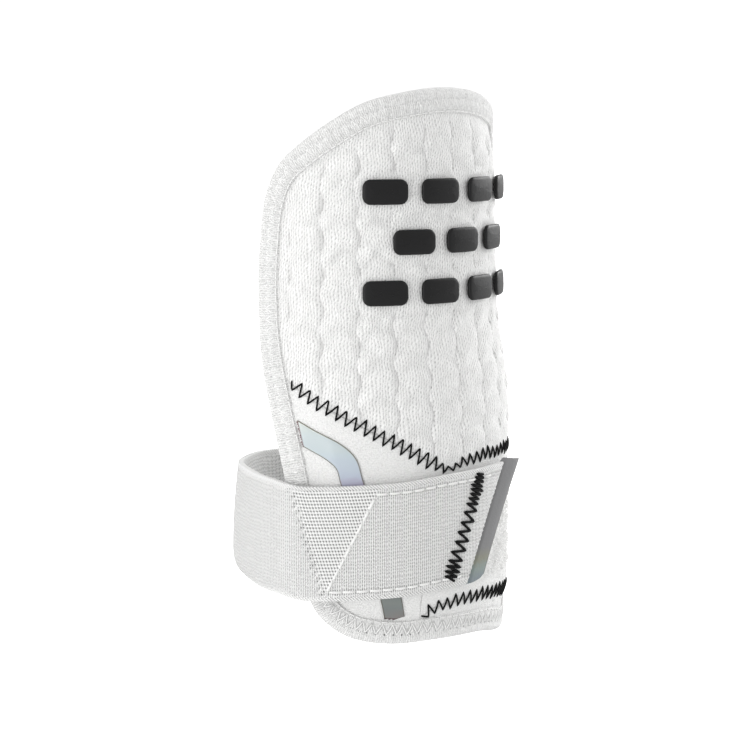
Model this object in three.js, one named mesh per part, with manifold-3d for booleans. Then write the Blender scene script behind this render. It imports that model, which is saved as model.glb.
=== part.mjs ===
// Batting hand protector: a bent, padded guard for the back of the hand with a bound edge, a quilted
// cover, a smooth lower cover, moulded rubber lugs and an elastic wrist strap that closes on the front.
// Millimetres, +Z towards the fingers. The origin lies on the axis that the guard is bent round, level
// with the middle of the strap, and the middle of the guard faces -Y.
import * as THREE from "three";
import { mergeVertices } from "three/addons/utils/BufferGeometryUtils.js";
import Module from "manifold-3d";

const wasm = await Module();
wasm.setup();

// Layers of the guard. A lift is measured outwards from the shell's outer face.
const bendRadius = 45; // arc lengths of the flat pattern are measured at this radius
const clearance = 0.3; // air between neighbouring pieces
const coverThickness = 1;
const padThickness = 6.4; // outer face of the covers to the lining
const edgeDrop = 2.2; // how far the outer face is pressed in under the binding
const edgeRise = 1.5; // how far the lining is pressed out there
const puffStart = 7.6; // distance from the edge where the padding begins to swell
const puffEnd = 16; // and where it has its full thickness

// Radius of the outer face, wider over the heel of the hand than over the knuckles
const shellProfile = [
  { height: -36, radius: 46.6 },
  { height: -18, radius: 47.2 },
  { height: 0, radius: 46.9 },
  { height: 20, radius: 47.1 },
  { height: 32, radius: 46.9 },
  { height: 42, radius: 46.0 },
  { height: 52, radius: 44.4 },
  { height: 62, radius: 43.4 },
  { height: 80, radius: 43.2 },
  { height: 120, radius: 43.0 },
];

// Outer edge of the guard on the flat pattern, from the lower little-finger corner round by the thumb
const edgeTable = [
  { arc: -44.7, height: -16.1 },
  { arc: -40.5, height: -21.9 },
  { arc: -34.1, height: -25.9 },
  { arc: -24, height: -28.1 },
  { arc: -9, height: -28.5 },
  { arc: 8, height: -29.6 },
  { arc: 24, height: -32.3 },
  { arc: 34, height: -31 },
  { arc: 40.3, height: -24 },
  { arc: 42.6, height: -6 },
  { arc: 43, height: 20 },
  { arc: 42.4, height: 48 },
  { arc: 40.4, height: 74 },
  { arc: 37.4, height: 93 },
  { arc: 34, height: 104 },
  { arc: 28.5, height: 111.5 },
  { arc: 20, height: 114.6 },
  { arc: 9.8, height: 116.5 },
  { arc: -2.4, height: 117.2 },
  { arc: -14, height: 116.4 },
  { arc: -29, height: 113.4 },
  { arc: -38.1, height: 109.1 },
  { arc: -47.3, height: 103.4 },
  { arc: -54.6, height: 97.3 },
  { arc: -58.5, height: 89.2 },
  { arc: -60.3, height: 77 },
  { arc: -60.8, height: 65 },
  { arc: -59.7, height: 52 },
  { arc: -56.1, height: 36.5 },
  { arc: -51.9, height: 18.4 },
  { arc: -48.6, height: 1 },
];
const edgeStations = 88;
const cutEvery = 2; // the covers' hidden edges follow every second station

// Binding tape folded over the edge: its section by depth in from the outer edge and lift
const bindingWidth = 6.6;
const bindingThickness = 1.1;
const bindingOver = -edgeDrop + clearance + 0.1; // underside of the outer leg
const bindingUnder = -padThickness + edgeRise - clearance; // upper side of the inner leg
const bindingSection = [
  { depth: bindingWidth, lift: bindingOver },
  { depth: bindingWidth, lift: bindingOver + 0.9 },
  { depth: 3.4, lift: bindingOver + bindingThickness },
  { depth: 1.4, lift: bindingOver + 0.85 },
  { depth: 0.3, lift: bindingOver - 0.3 },
  { depth: 0, lift: (bindingOver + bindingUnder) / 2 },
  { depth: 0.3, lift: bindingUnder + 0.3 },
  { depth: 1.5, lift: bindingUnder - bindingThickness },
  { depth: bindingWidth, lift: bindingUnder - bindingThickness },
  { depth: bindingWidth, lift: bindingUnder },
  { depth: bindingThickness, lift: bindingUnder },
  { depth: bindingThickness, lift: bindingOver },
];
const coverInset = bindingThickness + clearance;

// Seams of the covers on the flat pattern: the line under the quilted cover and the line over the heel
const quiltSeam = [
  { arc: -90, height: 64.4 },
  { arc: -6.8, height: 17.2 },
  { arc: 2.5, height: 18.4 },
  { arc: 90, height: 24 },
];
const heelSeam = [
  { arc: -17.5, height: -60 },
  { arc: -15.2, height: -22.8 },
  { arc: -11.3, height: -18.6 },
  { arc: -3.9, height: -17.8 },
  { arc: 90, height: -23 },
];
const patternReach = 150; // past every edge of the flat pattern

// Quilting: staggered pillows that rise slowly from one side and fall steeply on the other
const quiltDepth = 0.9;
const quiltPitch = { arc: 9.95, height: 9.4 };
const quiltOrigin = { arc: -1.6, height: 42.6 }; // one of the pits
const quiltSkew = 0.22;
const quiltFade = 5; // the relief dies out this far from the seam

// Rubber lugs over the back of the hand, in staggered rows
const lugRows = [
  { height: 64.5, arcs: [-24.6, -8.2, 8.2, 24.6] },
  { height: 77.5, arcs: [-16.4, 0, 16.4] },
  { height: 90.5, arcs: [-24.6, -8.2, 8.2, 24.6] },
];
const lugHalf = { arc: 6.2, height: 3.3 };
const lugCorner = 2.2;
const lugThickness = 1.1;
const lugCrown = 0.4;
const lugSeat = quiltDepth / 2; // the quilting is flat at this lift under a lug
const lugApron = { inner: 0.8, outer: 3 }; // flat border round each lug

// Film stripe on the lower cover, from the little-finger edge to the bottom edge
const stripeThickness = 0.3;
const stripeGap = 0.25;
const stripeTable = [
  { arc: -44.6, height: 26.8, half: 3.4 },
  { arc: -38.2, height: 23.6, half: 3.1 },
  { arc: -35.2, height: 20.8, half: 2.9 },
  { arc: -33.6, height: 15.4, half: 2.8 },
  { arc: -22.9, height: -16.6, half: 3.3 },
  { arc: -21.8, height: -21.2, half: 3.4 },
];

// Wrist strap: elastic whose path is given in plan, from inside the thumb edge round the wrist
const strapWidth = 30;
const strapThickness = 1.4;
const strapRise = 1.6; // the front stretch climbs this much towards the thumb
const patchThickness = 0.7;
const patchLift = stripeGap + stripeThickness + 0.25;
const strapLift = patchLift + patchThickness + clearance;
const shellUnderStrap = { widest: 47.2, narrowest: 46.9 };
const strapFrontRadius = shellUnderStrap.widest + strapLift + strapThickness / 2;
const strapInnerRadius = shellUnderStrap.narrowest - padThickness - clearance - strapThickness / 2;
const strapInnerAngles = [34, 42, 50];
const strapFrontAngles = [-62, -52, -42, -32, -22, -12, -2, 9, 20];
const strapWristPoints = [
  { x: 33.0, y: -19.4 },
  { x: 32.0, y: -10.2 },
  { x: 26.5, y: -0.3 },
  { x: 16.3, y: 6.6 },
  { x: 3.4, y: 11.2 },
  { x: -10.2, y: 12.6 },
  { x: -20.6, y: 11.8 },
  { x: -30.0, y: 8.0 },
  { x: -34.4, y: 5.2 },
  { x: -38.5, y: -0.6 },
  { x: -42.9, y: -11.1 },
  { x: -44.1, y: -17.9 },
];
const strapEnd = { upperAngle: 17.6, lowerAngle: -4.2 }; // the free end is cut on the slant
const strapStations = 52;
const strapRows = [0, 0.18, 0.45, 1]; // shares of the width, from the lower edge
const strapCurl = 3.4; // the lower edge leans in by this much at the turn
const strapTurn = { x: -35, y: 4, reach: 34 };
const knifeLength = 26; // of the cut past the slanted end

// Hook patch and pull tab, both sewn under the free end
const patchInset = 2.2;
const patchStart = { upper: -27.5, lower: -40.4 };
const patchStop = 4.2; // short of the strap's end
const patchDip = 1; // its far end lies this much lower, where the strap does
const tabThickness = 0.7;
const tabUnder = 3.3; // length that is sewn under the strap
const tabReach = { upper: 8, lower: 6.4 };
const tabLift = 1.3; // the free upper corner stands off the guard
const tabFoot = 0.8; // its lower corner is cut back by this much
const tabSlope = 4; // and slopes up to this height
const tabStep = 4;

// Surface finishes by piece
const finishes = {
  lining: { color: 0xe4e4e2, roughness: 0.9, metalness: 0 },
  knit: { color: 0xf1f1ef, roughness: 0.88, metalness: 0 },
  loop: { color: 0xf4f4f2, roughness: 0.95, metalness: 0 },
  binding: { color: 0xeeeeec, roughness: 0.85, metalness: 0 },
  elastic: { color: 0xefefed, roughness: 0.8, metalness: 0 },
  hook: { color: 0xe9e9e6, roughness: 0.6, metalness: 0 },
  film: { color: 0x9fb8c4, roughness: 0.25, metalness: 0.4 },
  label: { color: 0x8c8d8e, roughness: 0.45, metalness: 0.2 },
  rubber: { color: 0x0d0d0e, roughness: 0.42, metalness: 0 },
};

// Small helpers for tables and blends
function tableCurve(rows, key, value) {
  const keys = rows.map((row) => row[key]);
  const values = rows.map((row) => row[value]);
  const cubic = new THREE.CubicInterpolant(keys, values, 1, [0]);
  return (at) => cubic.evaluate(at)[0];
}

function mix(from, to, share) {
  return from + (to - from) * share;
}

const shellRadius = tableCurve(shellProfile, "height", "radius");

// A point of the flat pattern, carried on to the bent guard
function place(arc, height, lift) {
  const angle = arc / bendRadius;
  const radius = shellRadius(height) + lift;
  return [radius * Math.sin(angle), -radius * Math.cos(angle), height];
}

// The guard's edge as evenly spaced points with their inward normals
const edgeCurve = new THREE.CatmullRomCurve3(
  edgeTable.map(({ arc, height }) => new THREE.Vector3(arc, height, 0)),
  true,
  "centripetal",
);
const edgePoints = edgeCurve.getSpacedPoints(edgeStations).slice(0, edgeStations);
const edgeNormals = edgePoints.map((_, i) => {
  const before = edgePoints[(i + edgeStations - 1) % edgeStations];
  const after = edgePoints[(i + 1) % edgeStations];
  return new THREE.Vector3(before.y - after.y, after.x - before.x, 0).normalize();
});

function insetEdge(depth) {
  const inner = edgePoints.map((point, i) => point.clone().addScaledVector(edgeNormals[i], depth));
  return inner.filter((_, i) => i % cutEvery === 0).map(({ x, y }) => new THREE.Vector2(x, y));
}

// Distance in from the edge, negative outside it
function edgeDistance(arc, height) {
  let nearest = Infinity;
  let sign = 1;
  edgePoints.forEach((from, i) => {
    const to = edgePoints[(i + 1) % edgeStations];
    const [alongX, alongY] = [to.x - from.x, to.y - from.y];
    const [offX, offY] = [arc - from.x, height - from.y];
    const reach = (offX * alongX + offY * alongY) / (alongX ** 2 + alongY ** 2);
    const share = THREE.MathUtils.clamp(reach, 0, 1);
    const distance = Math.hypot(offX - share * alongX, offY - share * alongY);
    if (distance < nearest) {
      nearest = distance;
      sign = Math.sign(alongX * offY - alongY * offX);
    }
  });
  return sign * nearest;
}

// Faces of the padding: full in the middle, pressed thin under the binding
function puff(arc, height) {
  return THREE.MathUtils.smoothstep(edgeDistance(arc, height), puffStart, puffEnd);
}

function outerFace(arc, height) {
  return -edgeDrop * (1 - puff(arc, height));
}

function innerFace(arc, height) {
  return -padThickness + edgeRise * (1 - puff(arc, height));
}

function coverUnderside(arc, height) {
  return outerFace(arc, height) - coverThickness;
}

// Height of the seam under the quilted cover at an arc length
function seamHeight(arc) {
  const next = quiltSeam.findIndex((point) => point.arc > arc);
  const from = quiltSeam[next - 1];
  const to = quiltSeam[next];
  return mix(from.height, to.height, (arc - from.arc) / (to.arc - from.arc));
}

const lugs = lugRows.flatMap(({ height, arcs }) => arcs.map((arc) => ({ arc, height })));

// Distance outside the rounded outline of a lug, negative inside it
function lugDistance(lug, arc, height) {
  const across = Math.abs(arc - lug.arc) - lugHalf.arc + lugCorner;
  const up = Math.abs(height - lug.height) - lugHalf.height + lugCorner;
  const outside = Math.hypot(Math.max(across, 0), Math.max(up, 0));
  return outside + Math.min(Math.max(across, up), 0) - lugCorner;
}

// Quilted relief, flat beside the seam and under the lugs
function quiltRelief(arc, height) {
  const turn = 2 * Math.PI;
  const across = (arc - quiltOrigin.arc) / quiltPitch.arc;
  const up = (height - quiltOrigin.height) / quiltPitch.height;
  const skewed = across - (quiltSkew * (1 - Math.cos(turn * across))) / 2;
  const pillow = quiltDepth * 0.5 * (1 - Math.cos(turn * skewed) * Math.cos(turn * up));
  const nearLug = Math.min(...lugs.map((lug) => lugDistance(lug, arc, height)));
  const seat = 1 - THREE.MathUtils.smoothstep(nearLug, lugApron.inner, lugApron.outer);
  const fade = THREE.MathUtils.smoothstep(height - seamHeight(arc), 0, quiltFade);
  return mix(pillow, lugSeat, seat) * fade * puff(arc, height);
}

// Solids for cutting
function solidOf(geometry) {
  const bare = geometry.clone();
  bare.deleteAttribute("normal");
  bare.deleteAttribute("uv");
  const merged = mergeVertices(bare);
  return new wasm.Manifold(
    new wasm.Mesh({
      numProp: 3,
      vertProperties: new Float32Array(merged.attributes.position.array),
      triVerts: new Uint32Array(merged.index.array),
    }),
  );
}

function geometryFrom(positions, triangles) {
  const geometry = new THREE.BufferGeometry();
  geometry.setAttribute("position", new THREE.Float32BufferAttribute(positions, 3));
  geometry.setIndex(triangles);
  geometry.computeVertexNormals();
  return geometry;
}

// Evenly spaced lines over a range, in whole spans from a lattice that passes through one start value
function gridLines(low, high, start, step, every) {
  const span = step * every;
  const first = start + Math.floor((low - start) / span) * span;
  const spans = Math.ceil((high - first) / span);
  return Array.from({ length: spans * every + 1 }, (_, i) => first + i * step);
}

// A flat block with a grid on each side, at the lift of that side's face. A slow dome is added to it,
// so that no two facets are level and a cut keeps every grid point, and it is taken off again when the
// piece is bent.
const domeRate = 0.001;
const twistShare = 0.3;

function dome(arc, height) {
  return domeRate * (arc * arc + height * height + twistShare * arc * height);
}

function gridBlock(arcLines, heightLines, grid, topFace, bottomFace) {
  const positions = [];
  const triangles = [];
  const addFace = (every, side, face) => {
    const arcs = arcLines.filter((_, i) => i % every === 0);
    const heights = heightLines.filter((_, j) => j % every === 0);
    const base = positions.length / 3;
    const at = (i, j) => base + j * arcs.length + i;
    heights.forEach((h) => arcs.forEach((a) => positions.push(a, h, dome(a, h) + face(a, h))));
    for (let j = 0; j + 1 < heights.length; j++) {
      for (let i = 0; i + 1 < arcs.length; i++) {
        const [a, b, c, d] = [at(i, j), at(i + 1, j), at(i + 1, j + 1), at(i, j + 1)];
        triangles.push(...(side > 0 ? [a, b, c, a, c, d] : [a, c, b, a, d, c]));
      }
    }
    const [lastI, lastJ] = [arcs.length - 1, heights.length - 1];
    return [
      arcs.map((_, i) => at(i, 0)),
      heights.map((_, j) => at(lastI, j)),
      arcs.map((_, i) => at(lastI - i, lastJ)),
      heights.map((_, j) => at(0, lastJ - j)),
    ];
  };
  const upper = addFace(grid.upperEvery, 1, topFace);
  const lower = addFace(grid.lowerEvery, -1, bottomFace);
  const span = Math.max(grid.upperEvery, grid.lowerEvery);
  const highCells = span / grid.upperEvery;
  const lowCells = span / grid.lowerEvery;
  lower.forEach((low, side) => {
    const high = upper[side];
    for (let k = 0; k * lowCells + 1 < low.length; k++) {
      const [firstLow, lastHigh] = [k * lowCells, (k + 1) * highCells];
      for (let i = k * highCells; i < lastHigh; i++) {
        triangles.push(low[firstLow], high[i + 1], high[i]);
      }
      for (let j = firstLow; j < firstLow + lowCells; j++) {
        triangles.push(low[j], low[j + 1], high[lastHigh]);
      }
    }
  });
  return geometryFrom(positions, triangles);
}

// A straight cutter through the flat pattern
function cutter(outline) {
  const shape = new THREE.Shape(outline);
  const settings = { depth: 2 * patternReach, bevelEnabled: false };
  return solidOf(new THREE.ExtrudeGeometry(shape, settings).translate(0, 0, -patternReach));
}

// A straight-sided outline in short runs that bow out a little, so that each run is a wall of its own
const runLength = 8;
const runBow = 0.05;

function bowedOutline(rows) {
  const corners = rows.map(([arc, height]) => new THREE.Vector2(arc, height));
  return corners.flatMap((from, i) => {
    const to = corners[(i + 1) % corners.length];
    const runs = Math.ceil(from.distanceTo(to) / runLength);
    const outwards = new THREE.Vector2(to.y - from.y, from.x - to.x).normalize();
    return Array.from({ length: runs }, (_, k) => {
      const share = k / runs;
      const bow = 4 * runBow * share * (1 - share);
      return from.clone().lerp(to, share).addScaledVector(outwards, bow);
    });
  });
}

// A sheet piece: cut flat by its outlines, then bent on to the guard
function sheet(outlines, topFace, bottomFace, grid) {
  const box = new THREE.Box2().setFromPoints(outlines[0]).expandByScalar(1);
  const every = Math.max(grid.upperEvery, grid.lowerEvery);
  const arcLines = gridLines(box.min.x, box.max.x, grid.start.arc, grid.arcStep, every);
  const heightLines = gridLines(box.min.y, box.max.y, grid.start.height, grid.heightStep, every);
  const block = solidOf(gridBlock(arcLines, heightLines, grid, topFace, bottomFace));
  const flat = outlines.reduce((rest, outline) => rest.intersect(cutter(outline)), block).getMesh();
  const positions = [];
  for (let i = 0; i < flat.vertProperties.length; i += flat.numProp) {
    const [arc, height, across] = flat.vertProperties.subarray(i, i + 3);
    positions.push(...place(arc, height, across - dome(arc, height)));
  }
  return geometryFrom(positions, Array.from(flat.triVerts));
}

// Grids on the quilting's lattice: the padding's layers meet on its full pitch and stay parallel
function latticeGrid(divisions, upperEvery, lowerEvery) {
  return {
    arcStep: quiltPitch.arc / divisions,
    heightStep: quiltPitch.height / divisions,
    start: quiltOrigin,
    upperEvery,
    lowerEvery,
  };
}

function plainGrid(arcStep, heightStep, start) {
  return { arcStep, heightStep, start, upperEvery: 1, lowerEvery: 1 };
}

// A line of the flat pattern moved up or down, for the gap at a seam
function seamLine(seam, shift) {
  return seam.map(({ arc, height }) => [arc, height + shift]);
}

// Pad body: the foam and its lining
function padBody() {
  const top = (arc, height) => coverUnderside(arc, height) - clearance;
  return sheet([insetEdge(coverInset)], top, innerFace, latticeGrid(2, 2, 1));
}

// Quilted cover above its seam
function upperCover() {
  const above = bowedOutline([
    ...seamLine(quiltSeam, clearance / 2),
    [patternReach, patternReach],
    [-patternReach, patternReach],
  ]);
  const top = (arc, height) => outerFace(arc, height) + quiltRelief(arc, height);
  return sheet([insetEdge(coverInset), above], top, coverUnderside, latticeGrid(4, 1, 4));
}

// Smooth cover between the two seams, and the small one below the heel seam
function lowerCover() {
  const between = bowedOutline([
    ...seamLine(heelSeam, clearance / 2),
    ...seamLine(quiltSeam, -clearance / 2).reverse(),
    [-patternReach, -patternReach],
  ]);
  return sheet([insetEdge(coverInset), between], outerFace, coverUnderside, latticeGrid(2, 1, 2));
}

function heelCover() {
  const below = bowedOutline([...seamLine(heelSeam, -clearance / 2), [patternReach, -patternReach]]);
  return sheet([insetEdge(coverInset), below], outerFace, coverUnderside, latticeGrid(2, 1, 2));
}

// Binding swept round the edge
function edgeBinding() {
  const count = bindingSection.length;
  const positions = [];
  const triangles = [];
  edgePoints.forEach((point, i) => {
    bindingSection.forEach(({ depth, lift }) => {
      const at = point.clone().addScaledVector(edgeNormals[i], depth);
      positions.push(...place(at.x, at.y, lift));
    });
    const next = (i + 1) % edgeStations;
    for (let k = 0; k < count; k++) {
      const across = (k + 1) % count;
      const [a, b] = [i * count + k, i * count + across];
      const [c, d] = [next * count + across, next * count + k];
      triangles.push(a, b, c, a, c, d);
    }
  });
  return geometryFrom(positions, triangles);
}

// Film stripe, widened to both sides of its middle line
function stripe() {
  const middle = stripeTable.map(({ arc, height }) => new THREE.Vector2(arc, height));
  const sides = stripeTable.map(({ half }, i) => {
    const before = middle[Math.max(i - 1, 0)];
    const after = middle[Math.min(i + 1, middle.length - 1)];
    const along = after.clone().sub(before).normalize();
    return new THREE.Vector2(-along.y, along.x).multiplyScalar(half);
  });
  const left = middle.map((point, i) => point.clone().add(sides[i]));
  const right = middle.map((point, i) => point.clone().sub(sides[i]));
  const bottom = (arc, height) => outerFace(arc, height) + stripeGap;
  const top = (arc, height) => bottom(arc, height) + stripeThickness;
  const inside = insetEdge(bindingWidth + clearance);
  const corners = [...left, ...right.reverse()].map(({ x, y }) => [x, y]);
  return sheet([bowedOutline(corners), inside], top, bottom, latticeGrid(2, 1, 1));
}

// Strap path in plan: sewn inside the thumb edge, round the wrist, then along the guard's front
const onCircle = (radius) => (degrees) => {
  const angle = THREE.MathUtils.degToRad(degrees);
  return new THREE.Vector3(radius * Math.sin(angle), -radius * Math.cos(angle), 0);
};
const strapPath = new THREE.CatmullRomCurve3([
  ...strapInnerAngles.map(onCircle(strapInnerRadius)),
  ...strapWristPoints.map(({ x, y }) => new THREE.Vector3(x, y, 0)),
  ...strapFrontAngles.map(onCircle(strapFrontRadius)),
]);
strapPath.arcLengthDivisions = 1200;
const strapLength = strapPath.getLength();
const frontLength = (from, to) => strapFrontRadius * THREE.MathUtils.degToRad(to - from);
const endHeight = { upper: strapWidth / 2 + strapRise, lower: strapRise - strapWidth / 2 };

function strapLoop() {
  const positions = [];
  const triangles = [];
  const rows = strapRows.length;
  const turnPoint = new THREE.Vector3(strapTurn.x, strapTurn.y, 0);
  const climbLength = frontLength(strapFrontAngles[0], strapFrontAngles.at(-1));
  for (let i = 0; i <= strapStations; i++) {
    const share = i / strapStations;
    const middle = strapPath.getPointAt(share);
    const along = strapPath.getTangentAt(share);
    const outwards = new THREE.Vector3(along.y, -along.x, 0);
    const turn = 1 - THREE.MathUtils.smoothstep(middle.distanceTo(turnPoint), 0, strapTurn.reach);
    const climb = Math.max(1 - ((1 - share) * strapLength) / climbLength, 0);
    strapRows.forEach((up) => {
      const lean = -strapCurl * turn * (1 - up) ** 3;
      const height = strapWidth * (up - 0.5) + strapRise * climb;
      for (const side of [-1, 1]) {
        const skin = middle.clone().addScaledVector(outwards, lean + (side * strapThickness) / 2);
        positions.push(skin.x, skin.y, height);
      }
    });
  }
  const at = (i, j, side) => (i * rows + j) * 2 + side;
  const quad = (a, b, c, d) => triangles.push(a, b, c, a, c, d);
  const [end, top] = [strapStations, rows - 1];
  for (let i = 0; i < end; i++) {
    for (let j = 0; j < top; j++) {
      quad(at(i, j, 0), at(i, j + 1, 0), at(i + 1, j + 1, 0), at(i + 1, j, 0));
      quad(at(i, j, 1), at(i + 1, j, 1), at(i + 1, j + 1, 1), at(i, j + 1, 1));
    }
    quad(at(i, 0, 0), at(i + 1, 0, 0), at(i + 1, 0, 1), at(i, 0, 1));
    quad(at(i, top, 1), at(i + 1, top, 1), at(i + 1, top, 0), at(i, top, 0));
  }
  for (let j = 0; j < top; j++) {
    quad(at(0, j, 1), at(0, j + 1, 1), at(0, j + 1, 0), at(0, j, 0));
    quad(at(end, j, 0), at(end, j + 1, 0), at(end, j + 1, 1), at(end, j, 1));
  }
  return geometryFrom(positions, triangles);
}

// The loop with its free end cut along the slanted line
function strap() {
  const lower = onCircle(strapFrontRadius)(strapEnd.lowerAngle).setZ(endHeight.lower);
  const upper = onCircle(strapFrontRadius)(strapEnd.upperAngle).setZ(endHeight.upper);
  const middle = lower.clone().lerp(upper, 0.5);
  const outwards = middle.clone().setZ(0).normalize();
  const up = upper.clone().sub(lower).normalize();
  const past = up.clone().cross(outwards).normalize();
  const knife = new THREE.BoxGeometry(knifeLength, strapWidth * 2, strapThickness * 6);
  knife.translate(knifeLength / 2, 0, 0);
  const turned = new THREE.Matrix4().makeBasis(past, up, past.clone().cross(up));
  knife.applyMatrix4(turned.setPosition(middle));
  const cut = solidOf(strapLoop()).subtract(solidOf(knife)).getMesh();
  return geometryFrom(Array.from(cut.vertProperties), Array.from(cut.triVerts));
}

// Arc length of the slanted end at a height, on the flat pattern
function endArc(height) {
  const up = (height - endHeight.lower) / strapWidth;
  const degrees = mix(strapEnd.lowerAngle, strapEnd.upperAngle, up);
  return bendRadius * THREE.MathUtils.degToRad(degrees);
}

// Hook patch: a slanted strip that lies under the strap's front
function hookPatch() {
  const low = endHeight.lower + patchInset;
  const high = endHeight.upper - patchInset;
  const outline = bowedOutline([
    [patchStart.lower, low - patchDip],
    [endArc(low) - patchStop, low],
    [endArc(high) - patchStop, high],
    [patchStart.upper, high - patchDip],
  ]);
  const bottom = () => patchLift;
  const top = () => patchLift + patchThickness;
  return sheet([outline], top, bottom, plainGrid(quiltPitch.arc / 2, strapWidth / 2, quiltOrigin));
}

// Pull tab: a stiff tape along the slanted end, lifting off at its upper corner
function pullTab() {
  const { lower, upper } = endHeight;
  const outline = bowedOutline([
    [endArc(lower + tabFoot) - tabUnder, lower + tabFoot],
    [endArc(lower) + tabFoot, lower],
    [endArc(lower + tabSlope) + tabReach.lower, lower + tabSlope],
    [endArc(upper) + tabReach.upper, upper],
    [endArc(upper) - tabUnder, upper],
  ]);
  const bottom = (arc, height) => {
    const free = THREE.MathUtils.smoothstep(arc - endArc(height), 0, tabReach.upper);
    const up = THREE.MathUtils.clamp((height - lower) / strapWidth, 0, 1);
    return patchLift + tabLift * free * up;
  };
  const top = (arc, height) => bottom(arc, height) + tabThickness;
  return sheet([outline], top, bottom, plainGrid(tabStep, 2 * tabStep, quiltOrigin));
}

// One rubber lug with rounded corners and a crowned top
function lug(centre) {
  const outline = new THREE.Shape();
  const corners = [
    [1, -1, -90],
    [1, 1, 0],
    [-1, 1, 90],
    [-1, -1, 180],
  ];
  corners.forEach(([across, up, from]) => {
    const arc = centre.arc + across * (lugHalf.arc - lugCorner);
    const height = centre.height + up * (lugHalf.height - lugCorner);
    const start = THREE.MathUtils.degToRad(from);
    outline.absarc(arc, height, lugCorner, start, start + Math.PI / 2, false);
  });
  const bottom = () => lugSeat + clearance;
  const top = (arc, height) => {
    const inwards = THREE.MathUtils.smoothstep(-lugDistance(centre, arc, height), 0, lugHalf.height);
    return lugSeat + clearance + lugThickness - lugCrown * (1 - inwards);
  };
  const rim = outline.getPoints(1).slice(0, -1);
  const grid = plainGrid(lugHalf.arc * 1.5, lugHalf.height * 1.5, centre);
  return sheet([rim], top, bottom, grid);
}

// The whole guard
const protector = new THREE.Group();

function addPiece(name, geometry, finish) {
  const mesh = new THREE.Mesh(geometry, new THREE.MeshStandardMaterial(finishes[finish]));
  mesh.name = name;
  protector.add(mesh);
}

addPiece("pad_body", padBody(), "lining");
addPiece("upper_cover", upperCover(), "knit");
addPiece("lower_cover", lowerCover(), "loop");
addPiece("heel_cover", heelCover(), "loop");
addPiece("edge_binding", edgeBinding(), "binding");
addPiece("stripe", stripe(), "film");
addPiece("strap", strap(), "elastic");
addPiece("hook_patch", hookPatch(), "hook");
addPiece("pull_tab", pullTab(), "label");
lugs.forEach((centre, i) => addPiece(`lug_${i + 1}`, lug(centre), "rubber"));

export default protector;
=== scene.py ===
import math

import bpy
import numpy as np
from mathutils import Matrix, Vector


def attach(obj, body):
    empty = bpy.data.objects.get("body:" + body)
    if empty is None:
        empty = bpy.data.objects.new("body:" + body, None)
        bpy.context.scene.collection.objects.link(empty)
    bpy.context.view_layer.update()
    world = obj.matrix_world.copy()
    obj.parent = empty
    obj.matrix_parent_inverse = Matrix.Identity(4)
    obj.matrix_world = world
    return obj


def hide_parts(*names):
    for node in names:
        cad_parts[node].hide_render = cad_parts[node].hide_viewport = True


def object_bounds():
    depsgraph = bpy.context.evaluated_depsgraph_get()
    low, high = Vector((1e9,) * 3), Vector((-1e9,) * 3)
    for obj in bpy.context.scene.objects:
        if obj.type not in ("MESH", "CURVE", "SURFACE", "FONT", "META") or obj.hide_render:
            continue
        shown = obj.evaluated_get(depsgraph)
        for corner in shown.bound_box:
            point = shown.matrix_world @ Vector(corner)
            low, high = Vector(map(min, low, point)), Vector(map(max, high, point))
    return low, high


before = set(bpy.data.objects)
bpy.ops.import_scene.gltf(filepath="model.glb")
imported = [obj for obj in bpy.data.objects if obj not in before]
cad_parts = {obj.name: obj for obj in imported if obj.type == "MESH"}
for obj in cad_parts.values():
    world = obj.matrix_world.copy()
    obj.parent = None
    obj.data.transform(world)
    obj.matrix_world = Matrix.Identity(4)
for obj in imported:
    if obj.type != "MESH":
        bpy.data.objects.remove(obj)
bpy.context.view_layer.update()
mm = 0.001
print("frame loaded:", len(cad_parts), "nodes")

# The guard's flat pattern: arc lengths and heights in mm, lifts measured outwards from the shell
guard = {
    "bendRadius": 45.0,
    "padThickness": 6.4,
    "coverThickness": 1.0,
    "edgeDrop": 2.2,      # the outer face is pressed in this far under the binding
    "edgeRise": 1.5,      # and the lining this far out
    "puffStart": 7.6,     # distances from the edge between which the padding swells
    "puffEnd": 16.0,
    "shell": (            # height, radius
        (-36, 46.6), (-18, 47.2), (0, 46.9), (20, 47.1), (32, 46.9),
        (42, 46.0), (52, 44.4), (62, 43.4), (80, 43.2), (120, 43.0),
    ),
    "edge": (             # arc, height, from the lower little-finger corner round by the thumb
        (-44.7, -16.1), (-40.5, -21.9), (-34.1, -25.9), (-24, -28.1), (-9, -28.5), (8, -29.6),
        (24, -32.3), (34, -31), (40.3, -24), (42.6, -6), (43, 20), (42.4, 48), (40.4, 74),
        (37.4, 93), (34, 104), (28.5, 111.5), (20, 114.6), (9.8, 116.5), (-2.4, 117.2),
        (-14, 116.4), (-29, 113.4), (-38.1, 109.1), (-47.3, 103.4), (-54.6, 97.3), (-58.5, 89.2),
        (-60.3, 77), (-60.8, 65), (-59.7, 52), (-56.1, 36.5), (-51.9, 18.4), (-48.6, 1),
    ),
    "quiltSeam": (
        (-90, 74), (-49.8, 41.4), (-43.5, 37.2), (-7.75, 17.3), (-1.3, 19.3), (6, 20), (24, 19.6), (90, 19),
    ),
    "heelSeam": (
        (-17.5, -60), (-15.2, -22.4), (-12.3, -19.8), (-8.2, -18.7),
        (-1.1, -18.2), (8, -18.4), (25, -20.4), (90, -26),
    ),
}


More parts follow.
